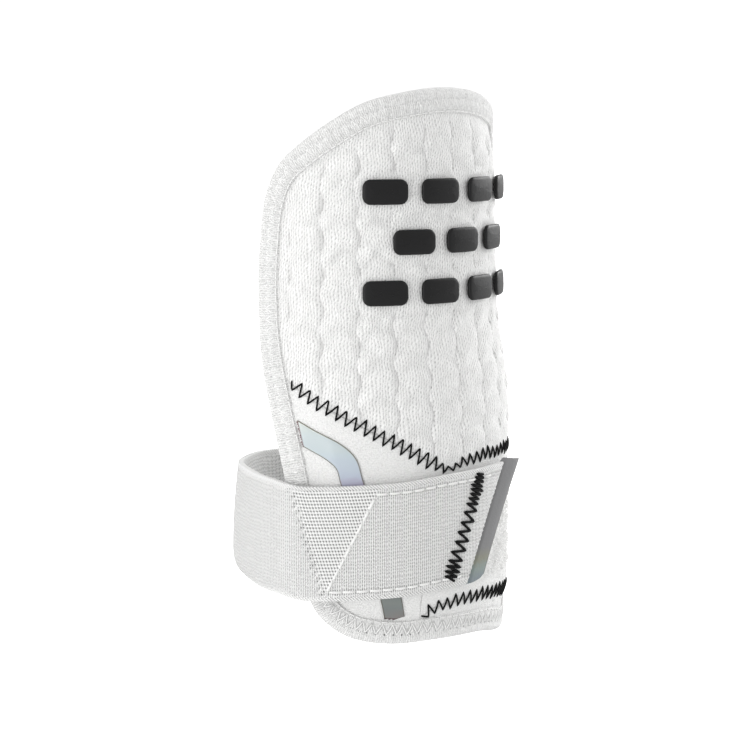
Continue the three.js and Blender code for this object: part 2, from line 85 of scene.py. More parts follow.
def smoothTable(table, at):
    # a batten through the table's points
    keys, values = np.array(table, float).T
    slopes = np.empty_like(values)
    slopes[1:-1] = (values[2:] - values[:-2]) / (keys[2:] - keys[:-2])
    slopes[0] = (values[1] - values[0]) / (keys[1] - keys[0])
    slopes[-1] = (values[-1] - values[-2]) / (keys[-1] - keys[-2])
    at = np.clip(at, keys[0], keys[-1])
    i = np.clip(np.searchsorted(keys, at) - 1, 0, len(keys) - 2)
    step = keys[i + 1] - keys[i]
    t = (at - keys[i]) / step
    start = (2 * t**3 - 3 * t**2 + 1) * values[i] + (t**3 - 2 * t**2 + t) * step * slopes[i]
    return start + (3 * t**2 - 2 * t**3) * values[i + 1] + (t**3 - t**2) * step * slopes[i + 1]


def smoothCurve(points, closed, count):
    # evenly spaced points on a centripetal curve, and its length
    knots = np.array(points, float)
    if closed:
        row = np.vstack([knots[-1], knots, knots[0], knots[1]])
    else:
        row = np.vstack([2 * knots[0] - knots[1], knots, 2 * knots[-1] - knots[-2]])
    t = np.linspace(0, 1, 40, endpoint=False)[:, None]
    dense = []
    for p0, p1, p2, p3 in zip(row[:-3], row[1:-2], row[2:-1], row[3:]):
        d1, d2, d3 = (np.linalg.norm(b - a) ** 0.5 for a, b in ((p0, p1), (p1, p2), (p2, p3)))
        m1 = ((p1 - p0) / d1 - (p2 - p0) / (d1 + d2) + (p2 - p1) / d2) * d2
        m2 = ((p2 - p1) / d2 - (p3 - p1) / (d2 + d3) + (p3 - p2) / d3) * d2
        start = (2 * t**3 - 3 * t**2 + 1) * p1 + (t**3 - 2 * t**2 + t) * m1
        dense.append(start + (3 * t**2 - 2 * t**3) * p2 + (t**3 - t**2) * m2)
    dense = np.vstack(dense + [knots[:1] if closed else knots[-1:]])
    run = np.r_[0, np.cumsum(np.linalg.norm(np.diff(dense, axis=0), axis=1))]
    at = np.linspace(0, run[-1], count, endpoint=not closed)
    return np.stack([np.interp(at, run, column) for column in dense.T], axis=1), run[-1]


def smoothstep(value, low, high):
    t = np.clip((value - low) / (high - low), 0, 1)
    return t * t * (3 - 2 * t)


def seamHeight(seam, arc):
    keys, values = np.array(seam, float).T
    return np.interp(arc, keys, values)


edgeLine, edgeLength = smoothCurve(guard["edge"], True, 360)


def edgeDistance(arc, height):
    # distance in from the guard's edge, negative outside it
    spots = np.stack([np.ravel(arc), np.ravel(height)], axis=1)
    nearest = np.full(len(spots), 1e9)
    side = np.ones(len(spots))
    for a, b in zip(edgeLine, np.roll(edgeLine, -1, axis=0)):
        along = b - a
        off = spots - a
        share = np.clip(off @ along / (along @ along), 0, 1)
        gap = np.hypot(off[:, 0] - share * along[0], off[:, 1] - share * along[1])
        closer = gap < nearest
        nearest[closer] = gap[closer]
        side[closer] = np.sign(along[0] * off[closer, 1] - along[1] * off[closer, 0])
    return (nearest * side).reshape(np.shape(arc))


def puff(arc, height):
    return smoothstep(edgeDistance(arc, height), guard["puffStart"], guard["puffEnd"])


def innerFace(arc, height):
    return -guard["padThickness"] + guard["edgeRise"] * (1 - puff(arc, height))


def place(arc, height, lift):
    # a point of the flat pattern on the bent guard, in metres
    angle = np.asarray(arc, float) / guard["bendRadius"]
    radius = smoothTable(guard["shell"], np.asarray(height, float)) + lift
    spot = np.stack(np.broadcast_arrays(radius * np.sin(angle), -radius * np.cos(angle), height), axis=-1)
    return spot * mm


def waves(arc, height, period, seed):
    # slow unevenness of cloth, from a few crossed sines
    draw = np.random.default_rng(seed)
    total = np.zeros(np.shape(arc))
    for turn, start, stretch in draw.uniform((0, 0, 0.6), (math.pi, 2 * math.pi, 1.7), (7, 3)):
        across = arc * math.cos(turn) + height * math.sin(turn)
        total += np.sin(2 * math.pi * across / (period * stretch) + start)
    return total / 7


# Small helpers for making and finishing pieces
def clearSelection():
    if bpy.context.mode != "OBJECT":
        bpy.ops.object.mode_set(mode="OBJECT")
    bpy.ops.object.select_all(action="DESELECT")


def pickOnly(piece):
    clearSelection()
    piece.select_set(True)
    bpy.context.view_layer.objects.active = piece


def nameVectors(piece, name, columns):
    # a named vector on each point, for the material's pattern
    rows = np.stack([np.ravel(column) for column in columns], axis=1).astype(np.float32)
    piece.data.attributes.new(name, "FLOAT_VECTOR", "POINT").data.foreach_set("vector", rows.ravel())


def clothGrid(name, spots):
    # a grid primitive laid out on rows of points
    rows, columns = spots.shape[:2]
    clearSelection()
    bpy.ops.mesh.primitive_grid_add(x_subdivisions=columns - 1, y_subdivisions=rows - 1, size=1)
    piece = bpy.context.object
    piece.name = piece.data.name = name
    piece.data.vertices.foreach_set("co", spots.astype(np.float32).ravel())
    piece.data.update()
    return piece


def trimFaces(piece, drop):
    # deletes the faces that have a point in drop
    mesh = piece.data
    drop = np.ravel(drop)
    corners = np.empty(len(mesh.polygons) * 4, np.int32)
    mesh.polygons.foreach_get("vertices", corners)
    chosen = drop[corners].reshape(-1, 4).any(axis=1)
    mesh.vertices.foreach_set("select", np.zeros(len(mesh.vertices), bool))
    mesh.edges.foreach_set("select", np.zeros(len(mesh.edges), bool))
    mesh.polygons.foreach_set("select", chosen)
    pickOnly(piece)
    bpy.context.tool_settings.mesh_select_mode = (False, False, True)
    bpy.ops.object.mode_set(mode="EDIT")
    bpy.ops.mesh.delete(type="FACE")
    bpy.ops.object.mode_set(mode="OBJECT")


def modify(piece, kind, **settings):
    # adds a modifier and applies it
    pickOnly(piece)
    modifier = piece.modifiers.new(kind.lower(), kind)
    for key, value in settings.items():
        setattr(modifier, key, value)
    bpy.ops.object.modifier_apply(modifier=modifier.name)


def roundEdges(piece, width, segments):
    sharp = math.radians(50)
    modify(piece, "BEVEL", width=width * mm, segments=segments, limit_method="ANGLE", angle_limit=sharp)


def dress(piece, material, slot, *nodes):
    # smooth shading, finish, and what the piece stands for
    pickOnly(piece)
    bpy.ops.object.shade_smooth()
    piece.data.materials.clear()
    piece.data.materials.append(material)
    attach(piece, "root")
    if nodes:
        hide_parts(*nodes)
    return piece


def threadPiece(name, strands, radius, material, slot):
    # round thread along lists of points, made a mesh
    clearSelection()
    line = bpy.data.curves.new(name, "CURVE")
    line.dimensions = "3D"
    line.bevel_depth = radius
    line.bevel_resolution = 2
    line.use_fill_caps = True
    for points in strands:
        spline = line.splines.new("POLY")
        spline.points.add(len(points) - 1)
        spline.points.foreach_set("co", np.c_[points, np.ones(len(points))].astype(np.float32).ravel())
    piece = bpy.data.objects.new(name, line)
    bpy.context.scene.collection.objects.link(piece)
    pickOnly(piece)
    bpy.ops.object.convert(target="MESH")
    return dress(bpy.context.object, material, slot)


# Materials
def linear(hexColour):
    parts = [int(hexColour[i:i + 2], 16) / 255 for i in (1, 3, 5)]
    return tuple(c / 12.92 if c <= 0.04045 else ((c + 0.055) / 1.055) ** 2.4 for c in parts) + (1.0,)


def newMaterial(name, colour, **sockets):
    material = bpy.data.materials.new(name)
    material.use_nodes = True
    shader = material.node_tree.nodes["Principled BSDF"]
    shader.inputs["Base Color"].default_value = linear(colour)
    for socket, value in sockets.items():
        shader.inputs[socket.replace("_", " ")].default_value = value
    return material, material.node_tree, shader


def addNode(tree, kind, links=None, **settings):
    # links give an input a value, a node's first output or another output
    # stops are a ramp's places and colours
    node = tree.nodes.new("ShaderNode" + kind)
    for key, value in settings.items():
        if key != "stops":
            setattr(node, key, value)
            continue
        for spot, _ in value[2:]:
            node.color_ramp.elements.new(spot)
        for element, (spot, colour) in zip(node.color_ramp.elements, value):
            element.position = spot
            element.color = linear(colour)
    for key, value in (links or {}).items():
        if isinstance(value, bpy.types.Node):
            value = value.outputs[0]
        if isinstance(value, bpy.types.NodeSocket):
            tree.links.new(value, node.inputs[key])
        else:
            node.inputs[key].default_value = value
    return node


def knitMaterial():
    # polyester warp knit, brushed matt: fine wales of small leaning stitches
    stitch = {"wale": 0.8, "course": 1.2, "lean": -0.7, "depth": 0.16 * mm}
    material, tree, shader = newMaterial("white_knit", "#e6e6e5", Roughness=0.9, IOR=1.45)
    shader.inputs["Sheen Weight"].default_value = 0.2
    shader.inputs["Sheen Roughness"].default_value = 0.5
    vector = addNode(tree, "Attribute", attribute_name="pattern").outputs["Vector"]
    axes = addNode(tree, "SeparateXYZ", {0: vector}).outputs
    loose = addNode(tree, "TexNoise", {"Vector": vector, "Scale": 0.22, "Detail": 3.0})
    arc = addNode(tree, "Math", {0: loose, 1: 2.2, 2: axes[0]}, operation="MULTIPLY_ADD")
    wales = addNode(tree, "Math", {0: arc, 1: stitch["wale"]}, operation="DIVIDE")
    courses = addNode(tree, "Math", {0: axes[1], 1: stitch["course"]}, operation="DIVIDE")
    column = addNode(tree, "Math", {0: wales}, operation="FRACT")
    lean = addNode(tree, "Math", {0: wales, 1: stitch["lean"], 2: courses}, operation="MULTIPLY_ADD")
    lean = addNode(tree, "Math", {0: lean, 1: 2 * math.pi}, operation="MULTIPLY")
    loop = addNode(tree, "Math", {0: lean}, operation="SINE")
    wale = addNode(tree, "Math", {0: column, 1: math.pi}, operation="MULTIPLY")
    wale = addNode(tree, "Math", {0: wale}, operation="SINE")
    yarn = addNode(tree, "TexNoise", {"Vector": vector, "Scale": 3.2, "Detail": 1.0})
    patchy = addNode(tree, "TexNoise", {"Vector": vector, "Scale": 0.3, "Detail": 2.0})
    relief = addNode(tree, "Math", {0: loop, 1: 0.22, 2: wale}, operation="MULTIPLY_ADD")
    relief = addNode(tree, "Math", {0: relief, 1: patchy}, operation="MULTIPLY")
    relief = addNode(tree, "Math", {0: yarn, 1: 0.9, 2: relief}, operation="MULTIPLY_ADD")
    normal = addNode(tree, "Bump", {"Distance": stitch["depth"], "Height": relief})
    tone = addNode(tree, "Math", {0: relief, 1: 0.65}, operation="MULTIPLY")
    tone = addNode(tree, "ValToRGB", {0: tone},
                   stops=((0.15, "#adadac"), (0.42, "#e2e2e1"), (0.72, "#f5f5f4")))
    tree.links.new(normal.outputs[0], shader.inputs["Normal"])
    tree.links.new(tone.outputs[0], shader.inputs["Base Color"])
    return material


def loopMaterial():
    # unbroken loop cloth: short nylon pile that looks like flat white felt, rougher where it is fuzzed
    material, tree, shader = newMaterial("white_loop", "#f4f4f3", Roughness=0.95, IOR=1.45)
    shader.inputs["Sheen Weight"].default_value = 0.4
    shader.inputs["Sheen Roughness"].default_value = 0.4
    vector = addNode(tree, "Attribute", attribute_name="pattern").outputs["Vector"]
    axes = addNode(tree, "SeparateXYZ", {0: vector}).outputs
    fine = addNode(tree, "TexNoise", {"Vector": vector, "Scale": 2.2, "Detail": 4.0})
    clump = addNode(tree, "TexNoise", {"Vector": vector, "Scale": 0.55, "Detail": 3.0})
    clump = addNode(tree, "Math", {0: clump, 1: 0.5}, operation="SUBTRACT")
    relief = addNode(tree, "Math", {0: clump, 1: axes[2], 2: fine}, operation="MULTIPLY_ADD")
    normal = addNode(tree, "Bump", {"Distance": 0.35 * mm, "Height": relief})
    tone = addNode(tree, "ValToRGB", {0: relief}, stops=((0.2, "#d6d6d5"), (0.6, "#efefee")))
    tree.links.new(normal.outputs[0], shader.inputs["Normal"])
    tree.links.new(tone.outputs[0], shader.inputs["Base Color"])
    return material


def bindingMaterial(stitchPitch, outerRow, innerRow):
    # knitted elastic tape: close ribs across it, a row of needle holes, and a groove under the zigzag; the
    # holes and the groove are sunk by bump and also painted grey as shade
    tape = {
        "rib": 0.62,
        "depth": 0.25 * mm,
        "hole": (0.3, 0.15),     # radius of a needle hole, and of its full depth
        "grooveAndShade": (1.5, 0.5),    # the same of the groove and its painted shade
        "fade": (0.3, -0.2),     # which ends this far past the zigzag's corners
    }
    material, tree, shader = newMaterial("white_binding", "#e3e3e2", Roughness=0.9, IOR=1.45)
    shader.inputs["Sheen Weight"].default_value = 0.25
    vector = addNode(tree, "Attribute", attribute_name="pattern").outputs["Vector"]
    axes = addNode(tree, "SeparateXYZ", {0: vector}).outputs
    uneven = addNode(tree, "TexNoise", {"Vector": vector, "Scale": 0.8, "Detail": 2.0})
    along = addNode(tree, "Math", {0: uneven, 1: 0.9, 2: axes[0]}, operation="MULTIPLY_ADD")
    rib = addNode(tree, "Math", {0: along, 1: 2 * math.pi / tape["rib"]}, operation="MULTIPLY")
    rib = addNode(tree, "Math", {0: rib}, operation="SINE")
    yarn = addNode(tree, "TexNoise", {"Vector": vector, "Scale": 2.2, "Detail": 3.0})
    yarn = addNode(tree, "Math", {0: yarn, 1: 1.3}, operation="MULTIPLY")
    relief = addNode(tree, "Math", {0: rib, 1: 0.22, 2: yarn}, operation="MULTIPLY_ADD")
    beat = addNode(tree, "Math", {0: along, 1: stitchPitch}, operation="WRAP")
    aside = addNode(tree, "Math", {0: beat, 1: stitchPitch / 2}, operation="SUBTRACT")
    inward = addNode(tree, "Math", {0: axes[1], 1: outerRow}, operation="SUBTRACT")
    away = addNode(tree, "CombineXYZ", {0: aside, 1: inward})
    away = addNode(tree, "VectorMath", {0: away}, operation="LENGTH").outputs["Value"]
    wide, full = tape["hole"]
    hole = addNode(tree, "MapRange", {"Value": away, "From Min": wide, "From Max": full})
    hole = addNode(tree, "Math", {0: hole, 1: axes[2]}, operation="MULTIPLY")
    faint = addNode(tree, "TexNoise", {"Vector": vector, "Scale": 0.06, "Detail": 1.0})
    spread = {"Value": faint, "From Min": 0.35, "From Max": 0.65, "To Min": 0.1, "To Max": 0.8}
    faint = addNode(tree, "MapRange", spread)
    hole = addNode(tree, "Math", {0: hole, 1: faint}, operation="MULTIPLY")
    zigzag = addNode(tree, "Math", {0: axes[0], 1: stitchPitch / 2}, operation="PINGPONG")
    slope = (innerRow - outerRow) / (stitchPitch / 2)
    zigzag = addNode(tree, "Math", {0: zigzag, 1: slope, 2: outerRow}, operation="MULTIPLY_ADD")
    beside = addNode(tree, "Math", {0: axes[1], 1: zigzag}, operation="SUBTRACT")
    beside = addNode(tree, "Math", {0: beside}, operation="ABSOLUTE")
    wide, full = tape["grooveAndShade"]
    sunk = addNode(tree, "MapRange", {"Value": beside, "From Min": wide, "From Max": full})
    within = addNode(tree, "Math", {0: axes[1], 1: (innerRow + outerRow) / 2}, operation="SUBTRACT")
    within = addNode(tree, "Math", {0: within}, operation="ABSOLUTE")
    wide, full = ((innerRow - outerRow) / 2 + past for past in tape["fade"])
    within = addNode(tree, "MapRange", {"Value": within, "From Min": wide, "From Max": full})
    sunk = addNode(tree, "Math", {0: sunk, 1: within}, operation="MULTIPLY")
    sunk = addNode(tree, "Math", {0: sunk, 1: axes[2]}, operation="MULTIPLY")
    hole = addNode(tree, "Math", {0: sunk, 1: 0.3, 2: hole}, operation="MULTIPLY_ADD")
    pitted = addNode(tree, "Math", {0: relief, 1: hole}, operation="SUBTRACT")
    normal = addNode(tree, "Bump", {"Distance": tape["depth"], "Height": pitted})
    tone = addNode(tree, "ValToRGB", {0: relief},
                   stops=((0.25, "#cececd"), (0.6, "#e5e5e4"), (0.95, "#f3f3f2")))
    # painted shade: the needle holes and the groove beside the zigzag are greyed
    tone = addNode(tree, "Mix", {0: hole, 6: tone, 7: linear("#7a7a7a")}, data_type="RGBA")
    tree.links.new(normal.outputs[0], shader.inputs["Normal"])
    tree.links.new(tone.outputs[2], shader.inputs["Base Color"])
    return material


def elasticMaterial():
    # woven elastic: open mesh where it is pulled round the edge, close weave elsewhere, with painted shade
    # along the topstitch rows and painted light on the turn
    weave = {
        "open": (0.77, 0.88),    # spacing of the open mesh along and across the strap
        "lean": 0.3,
        "close": (0.58, 0.93),   # spacing of the close weave
        "wave": (1.36, 0.11),    # its rows wave, by this period and height
        "drift": 1.6,            # and wander this far
        "tick": (0.85, 1.1),     # spacing and lean of the ticks at the selvages
        "depth": 0.2 * mm,
    }
    material, tree, shader = newMaterial("white_elastic", "#eeeeed", Roughness=0.8, IOR=1.45)
    shader.inputs["Sheen Weight"].default_value = 0.15
    vector = addNode(tree, "Attribute", attribute_name="pattern").outputs["Vector"]
    axes = addNode(tree, "SeparateXYZ", {0: vector}).outputs
    zones = addNode(tree, "Attribute", attribute_name="zones").outputs["Vector"]
    zones = addNode(tree, "SeparateXYZ", {0: zones}).outputs
    full = 2 * math.pi
    leaning = addNode(tree, "Math", {0: axes[1], 1: weave["lean"], 2: axes[0]}, operation="MULTIPLY_ADD")
    tickPitch, tickLean = weave["tick"]
    leaned = addNode(tree, "Math", {0: axes[1], 1: tickLean, 2: axes[0]}, operation="MULTIPLY_ADD")
    period, high = weave["wave"]
    wavy = addNode(tree, "Math", {0: axes[0], 1: full / period}, operation="MULTIPLY")
    wavy = addNode(tree, "Math", {0: wavy}, operation="COSINE")
    wavy = addNode(tree, "Math", {0: wavy, 1: high, 2: axes[1]}, operation="MULTIPLY_ADD")
    drift = addNode(tree, "TexNoise", {"Vector": vector, "Scale": 0.35, "Detail": 2.0})
    wavy = addNode(tree, "Math", {0: drift, 1: weave["drift"], 2: wavy}, operation="MULTIPLY_ADD")
    runs = (leaning, axes[1], axes[0], wavy, leaned)
    beats = []
    for run, pitch in zip(runs, (*weave["open"], *weave["close"], tickPitch)):
        beat = addNode(tree, "Math", {0: run, 1: full / pitch}, operation="MULTIPLY")
        beats.append(addNode(tree, "Math", {0: beat}, operation="COSINE"))
    openWeave = addNode(tree, "Math", {0: beats[0], 1: beats[1]}, operation="ADD")
    openWeave = addNode(tree, "Math", {0: openWeave, 1: -0.6}, operation="MAXIMUM")
    closeWeave = addNode(tree, "Math", {0: beats[2], 1: 2.0, 2: beats[3]}, operation="MULTIPLY_ADD")
    ticks = addNode(tree, "Math", {0: beats[4], 1: -0.3}, operation="MAXIMUM")
    rim = addNode(tree, "MapRange", {"Value": axes[2], "From Min": 1.5, "From Max": 0.8, "To Max": 1.35})
    yarn = addNode(tree, "TexNoise", {"Vector": vector, "Scale": 1.6, "Detail": 3.0})
    holes = addNode(tree, "Math", {0: openWeave, 1: zones[0]}, operation="MULTIPLY")
    holes = addNode(tree, "Math", {0: closeWeave, 1: zones[1], 2: holes}, operation="MULTIPLY_ADD")
    holes = addNode(tree, "Math", {0: ticks, 1: rim, 2: holes}, operation="MULTIPLY_ADD")
    holes = addNode(tree, "Math", {0: yarn, 1: 0.8, 2: holes}, operation="MULTIPLY_ADD")
    # the third zone: painted shade along the topstitch rows, painted light on the turn, and bump with them
    holes = addNode(tree, "Math", {0: zones[2], 1: 0.7, 2: holes}, operation="MULTIPLY_ADD")
    relief = addNode(tree, "Math", {0: holes, 1: -0.5}, operation="MULTIPLY")
    normal = addNode(tree, "Bump", {"Distance": weave["depth"], "Height": relief})
    shade = addNode(tree, "Math", {0: holes, 1: 0.25, 2: 0.24}, operation="MULTIPLY_ADD")
    tone = addNode(tree, "ValToRGB", {0: shade},
                   stops=((0.15, "#f4f4f3"), (0.45, "#e6e6e5"), (0.75, "#b4b4b3"), (0.95, "#808080")))
    tree.links.new(normal.outputs[0], shader.inputs["Normal"])
    tree.links.new(tone.outputs[0], shader.inputs["Base Color"])
    return material


def liningMaterial():
    # brushed tricot lining: soft, with a fine mesh of dimples
    mesh = {"column": 1.5, "row": 1.3, "depth": 0.3 * mm}
    material, tree, shader = newMaterial("pale_lining", "#e9e9e8", Roughness=0.95, IOR=1.45)
    shader.inputs["Sheen Weight"].default_value = 0.3
    vector = addNode(tree, "Attribute", attribute_name="pattern").outputs["Vector"]
    axes = addNode(tree, "SeparateXYZ", {0: vector}).outputs
    column = addNode(tree, "Math", {0: axes[0], 1: 2 * math.pi / mesh["column"]}, operation="MULTIPLY")
    row = addNode(tree, "Math", {0: axes[1], 1: 2 * math.pi / mesh["row"]}, operation="MULTIPLY")
    sums = addNode(tree, "Math", {0: column, 1: row}, operation="ADD")
    differences = addNode(tree, "Math", {0: column, 1: row}, operation="SUBTRACT")
    sums = addNode(tree, "Math", {0: sums}, operation="COSINE")
    differences = addNode(tree, "Math", {0: differences}, operation="COSINE")
    dimples = addNode(tree, "Math", {0: sums, 1: differences}, operation="ADD")
    dimples = addNode(tree, "Math", {0: dimples, 1: 0.0}, operation="MAXIMUM")
    brushed = addNode(tree, "TexNoise", {"Vector": vector, "Scale": 2.0, "Detail": 3.0})
    relief = addNode(tree, "Math", {0: dimples, 1: -0.3, 2: brushed}, operation="MULTIPLY_ADD")
    normal = addNode(tree, "Bump", {"Distance": mesh["depth"], "Height": relief})
    tone = addNode(tree, "ValToRGB", {0: relief}, stops=((0.0, "#c9c9c8"), (0.5, "#e6e6e5")))
    tree.links.new(normal.outputs[0], shader.inputs["Normal"])
    tree.links.new(tone.outputs[0], shader.inputs["Base Color"])
    return material


def threadMaterial(name, colour):
    # bonded nylon sewing thread, twisted, with a soft shine
    material, tree, shader = newMaterial(name, colour, Roughness=0.75, IOR=1.35, Specular_IOR_Level=0.35)
    spot = addNode(tree, "TexCoord").outputs["Object"]
    twist = addNode(tree, "TexNoise", {"Vector": spot, "Scale": 2.5 / mm, "Detail": 2.0})
    normal = addNode(tree, "Bump", {"Distance": 0.08 * mm, "Height": twist})
    tree.links.new(normal.outputs[0], shader.inputs["Normal"])
    return material


def rubberMaterial():
    # moulded black rubber with a satin skin and a faint grain
    material, tree, shader = newMaterial(
        "black_rubber", "#0f0f10", Roughness=0.48, IOR=1.5, Specular_IOR_Level=0.3)
    spot = addNode(tree, "TexCoord").outputs["Object"]
    grain = addNode(tree, "TexNoise", {"Vector": spot, "Scale": 1.6 / mm, "Detail": 3.0})
    normal = addNode(tree, "Bump", {"Distance": 0.05 * mm, "Height": grain})
    rough = addNode(tree, "MapRange", {"Value": grain, "To Min": 0.42, "To Max": 0.56})
    tree.links.new(normal.outputs[0], shader.inputs["Normal"])
    tree.links.new(rough.outputs[0], shader.inputs["Roughness"])
    return material


def filmMaterial():
    # pearl film: pale blue, lilac towards the strap and dull grey-green below it, gold at its rims; the hues
    # along its length are painted sheen that stands in for its iridescence
    ends = (-24.0, 32.0)   # heights between which the colours run
    material, tree, shader = newMaterial("pearl_film", "#c9d6dc", Roughness=0.28, IOR=1.5)
    shader.inputs["Coat Weight"].default_value = 0.6
    shader.inputs["Coat Roughness"].default_value = 0.12
    vector = addNode(tree, "Attribute", attribute_name="pattern").outputs["Vector"]
    axes = addNode(tree, "SeparateXYZ", {0: vector}).outputs
    cloud = addNode(tree, "TexNoise", {"Vector": vector, "Scale": 0.2, "Detail": 2.0})
    cloud = addNode(tree, "MapRange", {"Value": cloud, "To Min": -0.08, "To Max": 0.08})
    run = addNode(tree, "MapRange", {"Value": axes[1], "From Min": ends[0], "From Max": ends[1]})
    run = addNode(tree, "Math", {0: run, 1: cloud}, operation="ADD")
    # painted sheen: hues by height in place of the film's iridescence
    hue = addNode(tree, "ValToRGB", {0: run}, stops=(
        (0.05, "#76716f"), (0.12, "#6d7473"), (0.22, "#777d78"), (0.66, "#a888ab"),
        (0.69, "#b2a6c0"), (0.73, "#b3bccb"), (0.85, "#b9c5cb"), (1.0, "#c0c8c5")))
    side = addNode(tree, "Math", {0: axes[0]}, operation="ABSOLUTE")
    rim = addNode(tree, "ValToRGB", {0: side},
                  stops=((0.88, "#ffffff"), (0.94, "#cdc3b0"), (0.985, "#938a7f")))
    wine = addNode(tree, "ValToRGB", {0: axes[2]}, stops=((0.4, "#7a1f33"), (0.75, "#ffffff")))
    for tint in (rim, wine):
        mixed = addNode(tree, "Mix", {0: 1.0, 6: hue, 7: tint}, data_type="RGBA", blend_type="MULTIPLY")
        hue = mixed.outputs[2]
    tree.links.new(hue, shader.inputs["Base Color"])
    return material


def tapeMaterial():
    # grey coated tape: satin, with a faint painted sheen at its lower end in place of its iridescence, and
    # darker at its free end
    tape = {"length": 30.0, "rim": (0.94, 0.98)}
    material, tree, shader = newMaterial("grey_coated_tape", "#8e8f90", Roughness=0.42, IOR=1.5)
    vector = addNode(tree, "Attribute", attribute_name="pattern").outputs["Vector"]
    axes = addNode(tree, "SeparateXYZ", {0: vector}).outputs
    grit = addNode(tree, "TexNoise", {"Vector": vector, "Scale": 1.4, "Detail": 3.0})
    shift = addNode(tree, "MapRange", {"Value": grit, "To Min": -0.06, "To Max": 0.06})
    run = addNode(tree, "Math", {0: axes[1], 1: 1 / tape["length"], 2: shift}, operation="MULTIPLY_ADD")
    # painted sheen: tints at the lower end in place of its iridescence
    hue = addNode(tree, "ValToRGB", {0: run}, stops=(
        (0.02, "#7b858a"), (0.1, "#838f8b"), (0.18, "#838476"), (0.28, "#7c7c7d"), (1.0, "#808081")))
    start, full = tape["rim"]
    rim = addNode(tree, "MapRange", {"Value": axes[2], "From Min": start, "From Max": full, "To Max": 0.75})
    hue = addNode(tree, "Mix", {0: rim, 6: hue, 7: linear("#3c3c3d")}, data_type="RGBA")
    normal = addNode(tree, "Bump", {"Distance": 0.06 * mm, "Height": grit})
    tree.links.new(normal.outputs[0], shader.inputs["Normal"])
    tree.links.new(hue.outputs[2], shader.inputs["Base Color"])
    return material


def hookMaterial():
    # moulded nylon hooks, seen as a fine grid
    material, tree, shader = newMaterial("white_hook_tape", "#e6e6e4", Roughness=0.6, IOR=1.53)
    vector = addNode(tree, "Attribute", attribute_name="pattern").outputs["Vector"]
    dots = addNode(tree, "TexVoronoi", {"Vector": vector, "Scale": 0.9, "Randomness": 0.2}, feature="F1")
    normal = addNode(tree, "Bump", {"Distance": 0.4 * mm, "Height": dots})
    tone = addNode(tree, "ValToRGB", {0: dots}, stops=((0.1, "#f0f0ee"), (0.7, "#cfcfcc")))
    tree.links.new(normal.outputs[0], shader.inputs["Normal"])
    tree.links.new(tone.outputs[0], shader.inputs["Base Color"])
    return material


knit = knitMaterial()
loopCloth = loopMaterial()
elastic = elasticMaterial()
liningCloth = liningMaterial()
rubber = rubberMaterial()
film = filmMaterial()
coatedTape = tapeMaterial()
hookTape = hookMaterial()
blackThread = threadMaterial("black_nylon_thread", "#070708")
whiteThread = threadMaterial("white_nylon_thread", "#ececeb")
pileYarn = threadMaterial("white_nylon_pile", "#f8f8f7")
print("materials ready")

# Rubber lugs
lug = {
    "rows": (   # height, arcs
        (64.5, (-24.6, -8.2, 8.2, 24.6)),
        (77.5, (-16.4, 0.0, 16.4)),
        (90.5, (-24.6, -8.2, 8.2, 24.6)),
    ),
    "half": (6.2, 3.3),
    "corner": 2.2,
    "thickness": 1.3,
    "round": 0.55,
    "rounding": ((0.3, 0.45), (0.7, 0.3)),   # insets and rises of the rounded rim, as shares of round
    "crown": ((0.7, 0.06), (0.8, 0.06), (0.9, 0.06)),   # insets and rises of the crown in it, in mm
    "apron": (0.8, 3.0),   # flat border pressed into the quilting round each lug
    "seat": 0.5,           # and its lift
    "gap": 0.05,
}
lugSpots = [(arc, height) for height, arcs in lug["rows"] for arc in arcs]


def lugDistance(arc, height):
    # distance from the nearest lug's outline, negative inside it
    nearest = np.full(np.shape(arc), 1e9)
    for centreArc, centreHeight in lugSpots:
        across = np.abs(arc - centreArc) - lug["half"][0] + lug["corner"]
        up = np.abs(height - centreHeight) - lug["half"][1] + lug["corner"]
        outside = np.hypot(np.maximum(across, 0), np.maximum(up, 0))
        nearest = np.minimum(nearest, outside + np.minimum(np.maximum(across, up), 0) - lug["corner"])
    return nearest


def lugPiece(number, centre):
    # a block with rounded corners, bent on to the quilting
    clearSelection()
    bpy.ops.mesh.primitive_cube_add(size=1)
    piece = bpy.context.object
    piece.name = piece.data.name = f"rubber_lug_{number}"
    piece.scale = (2 * lug["half"][0], 2 * lug["half"][1], lug["thickness"])
    bpy.ops.object.transform_apply(location=False, rotation=False, scale=True)
    bpy.context.tool_settings.mesh_select_mode = (False, True, False)
    bpy.ops.object.mode_set(mode="EDIT")
    bpy.ops.mesh.select_all(action="DESELECT")
    bpy.ops.object.mode_set(mode="OBJECT")
    for edge in piece.data.edges:
        a, b = (piece.data.vertices[i].co for i in edge.vertices)
        edge.select = abs(a.z - b.z) > 0.5
    bpy.ops.object.mode_set(mode="EDIT")
    bpy.ops.mesh.bevel(offset=lug["corner"], segments=8, affect="EDGES")
    bpy.ops.mesh.select_all(action="DESELECT")
    bpy.ops.object.mode_set(mode="OBJECT")
    for face in piece.data.polygons:
        face.select = face.normal.z > 0.9
    bpy.context.tool_settings.mesh_select_mode = (False, False, True)
    bpy.ops.object.mode_set(mode="EDIT")
    for inset, rise in lug["rounding"]:
        bpy.ops.mesh.inset(thickness=lug["round"] * inset, depth=lug["round"] * rise)
    for inset, rise in lug["crown"]:
        bpy.ops.mesh.inset(thickness=inset, depth=rise)
    bpy.ops.object.mode_set(mode="OBJECT")
    modify(piece, "SUBSURF", levels=2, render_levels=2)
    flat = np.empty(len(piece.data.vertices) * 3, np.float32)
    piece.data.vertices.foreach_get("co", flat)
    flat = flat.reshape(-1, 3).astype(float)
    lift = lug["seat"] + lug["gap"] + flat[:, 2] + lug["thickness"] / 2
    spots = place(centre[0] + flat[:, 0], centre[1] + flat[:, 1], lift)
    piece.data.vertices.foreach_set("co", spots.astype(np.float32).ravel())
    piece.data.update()
    dress(piece, rubber, "rubber_black", f"lug_{number}")


for number, centre in enumerate(lugSpots, 1):
    lugPiece(number, centre)
print("lugs made")

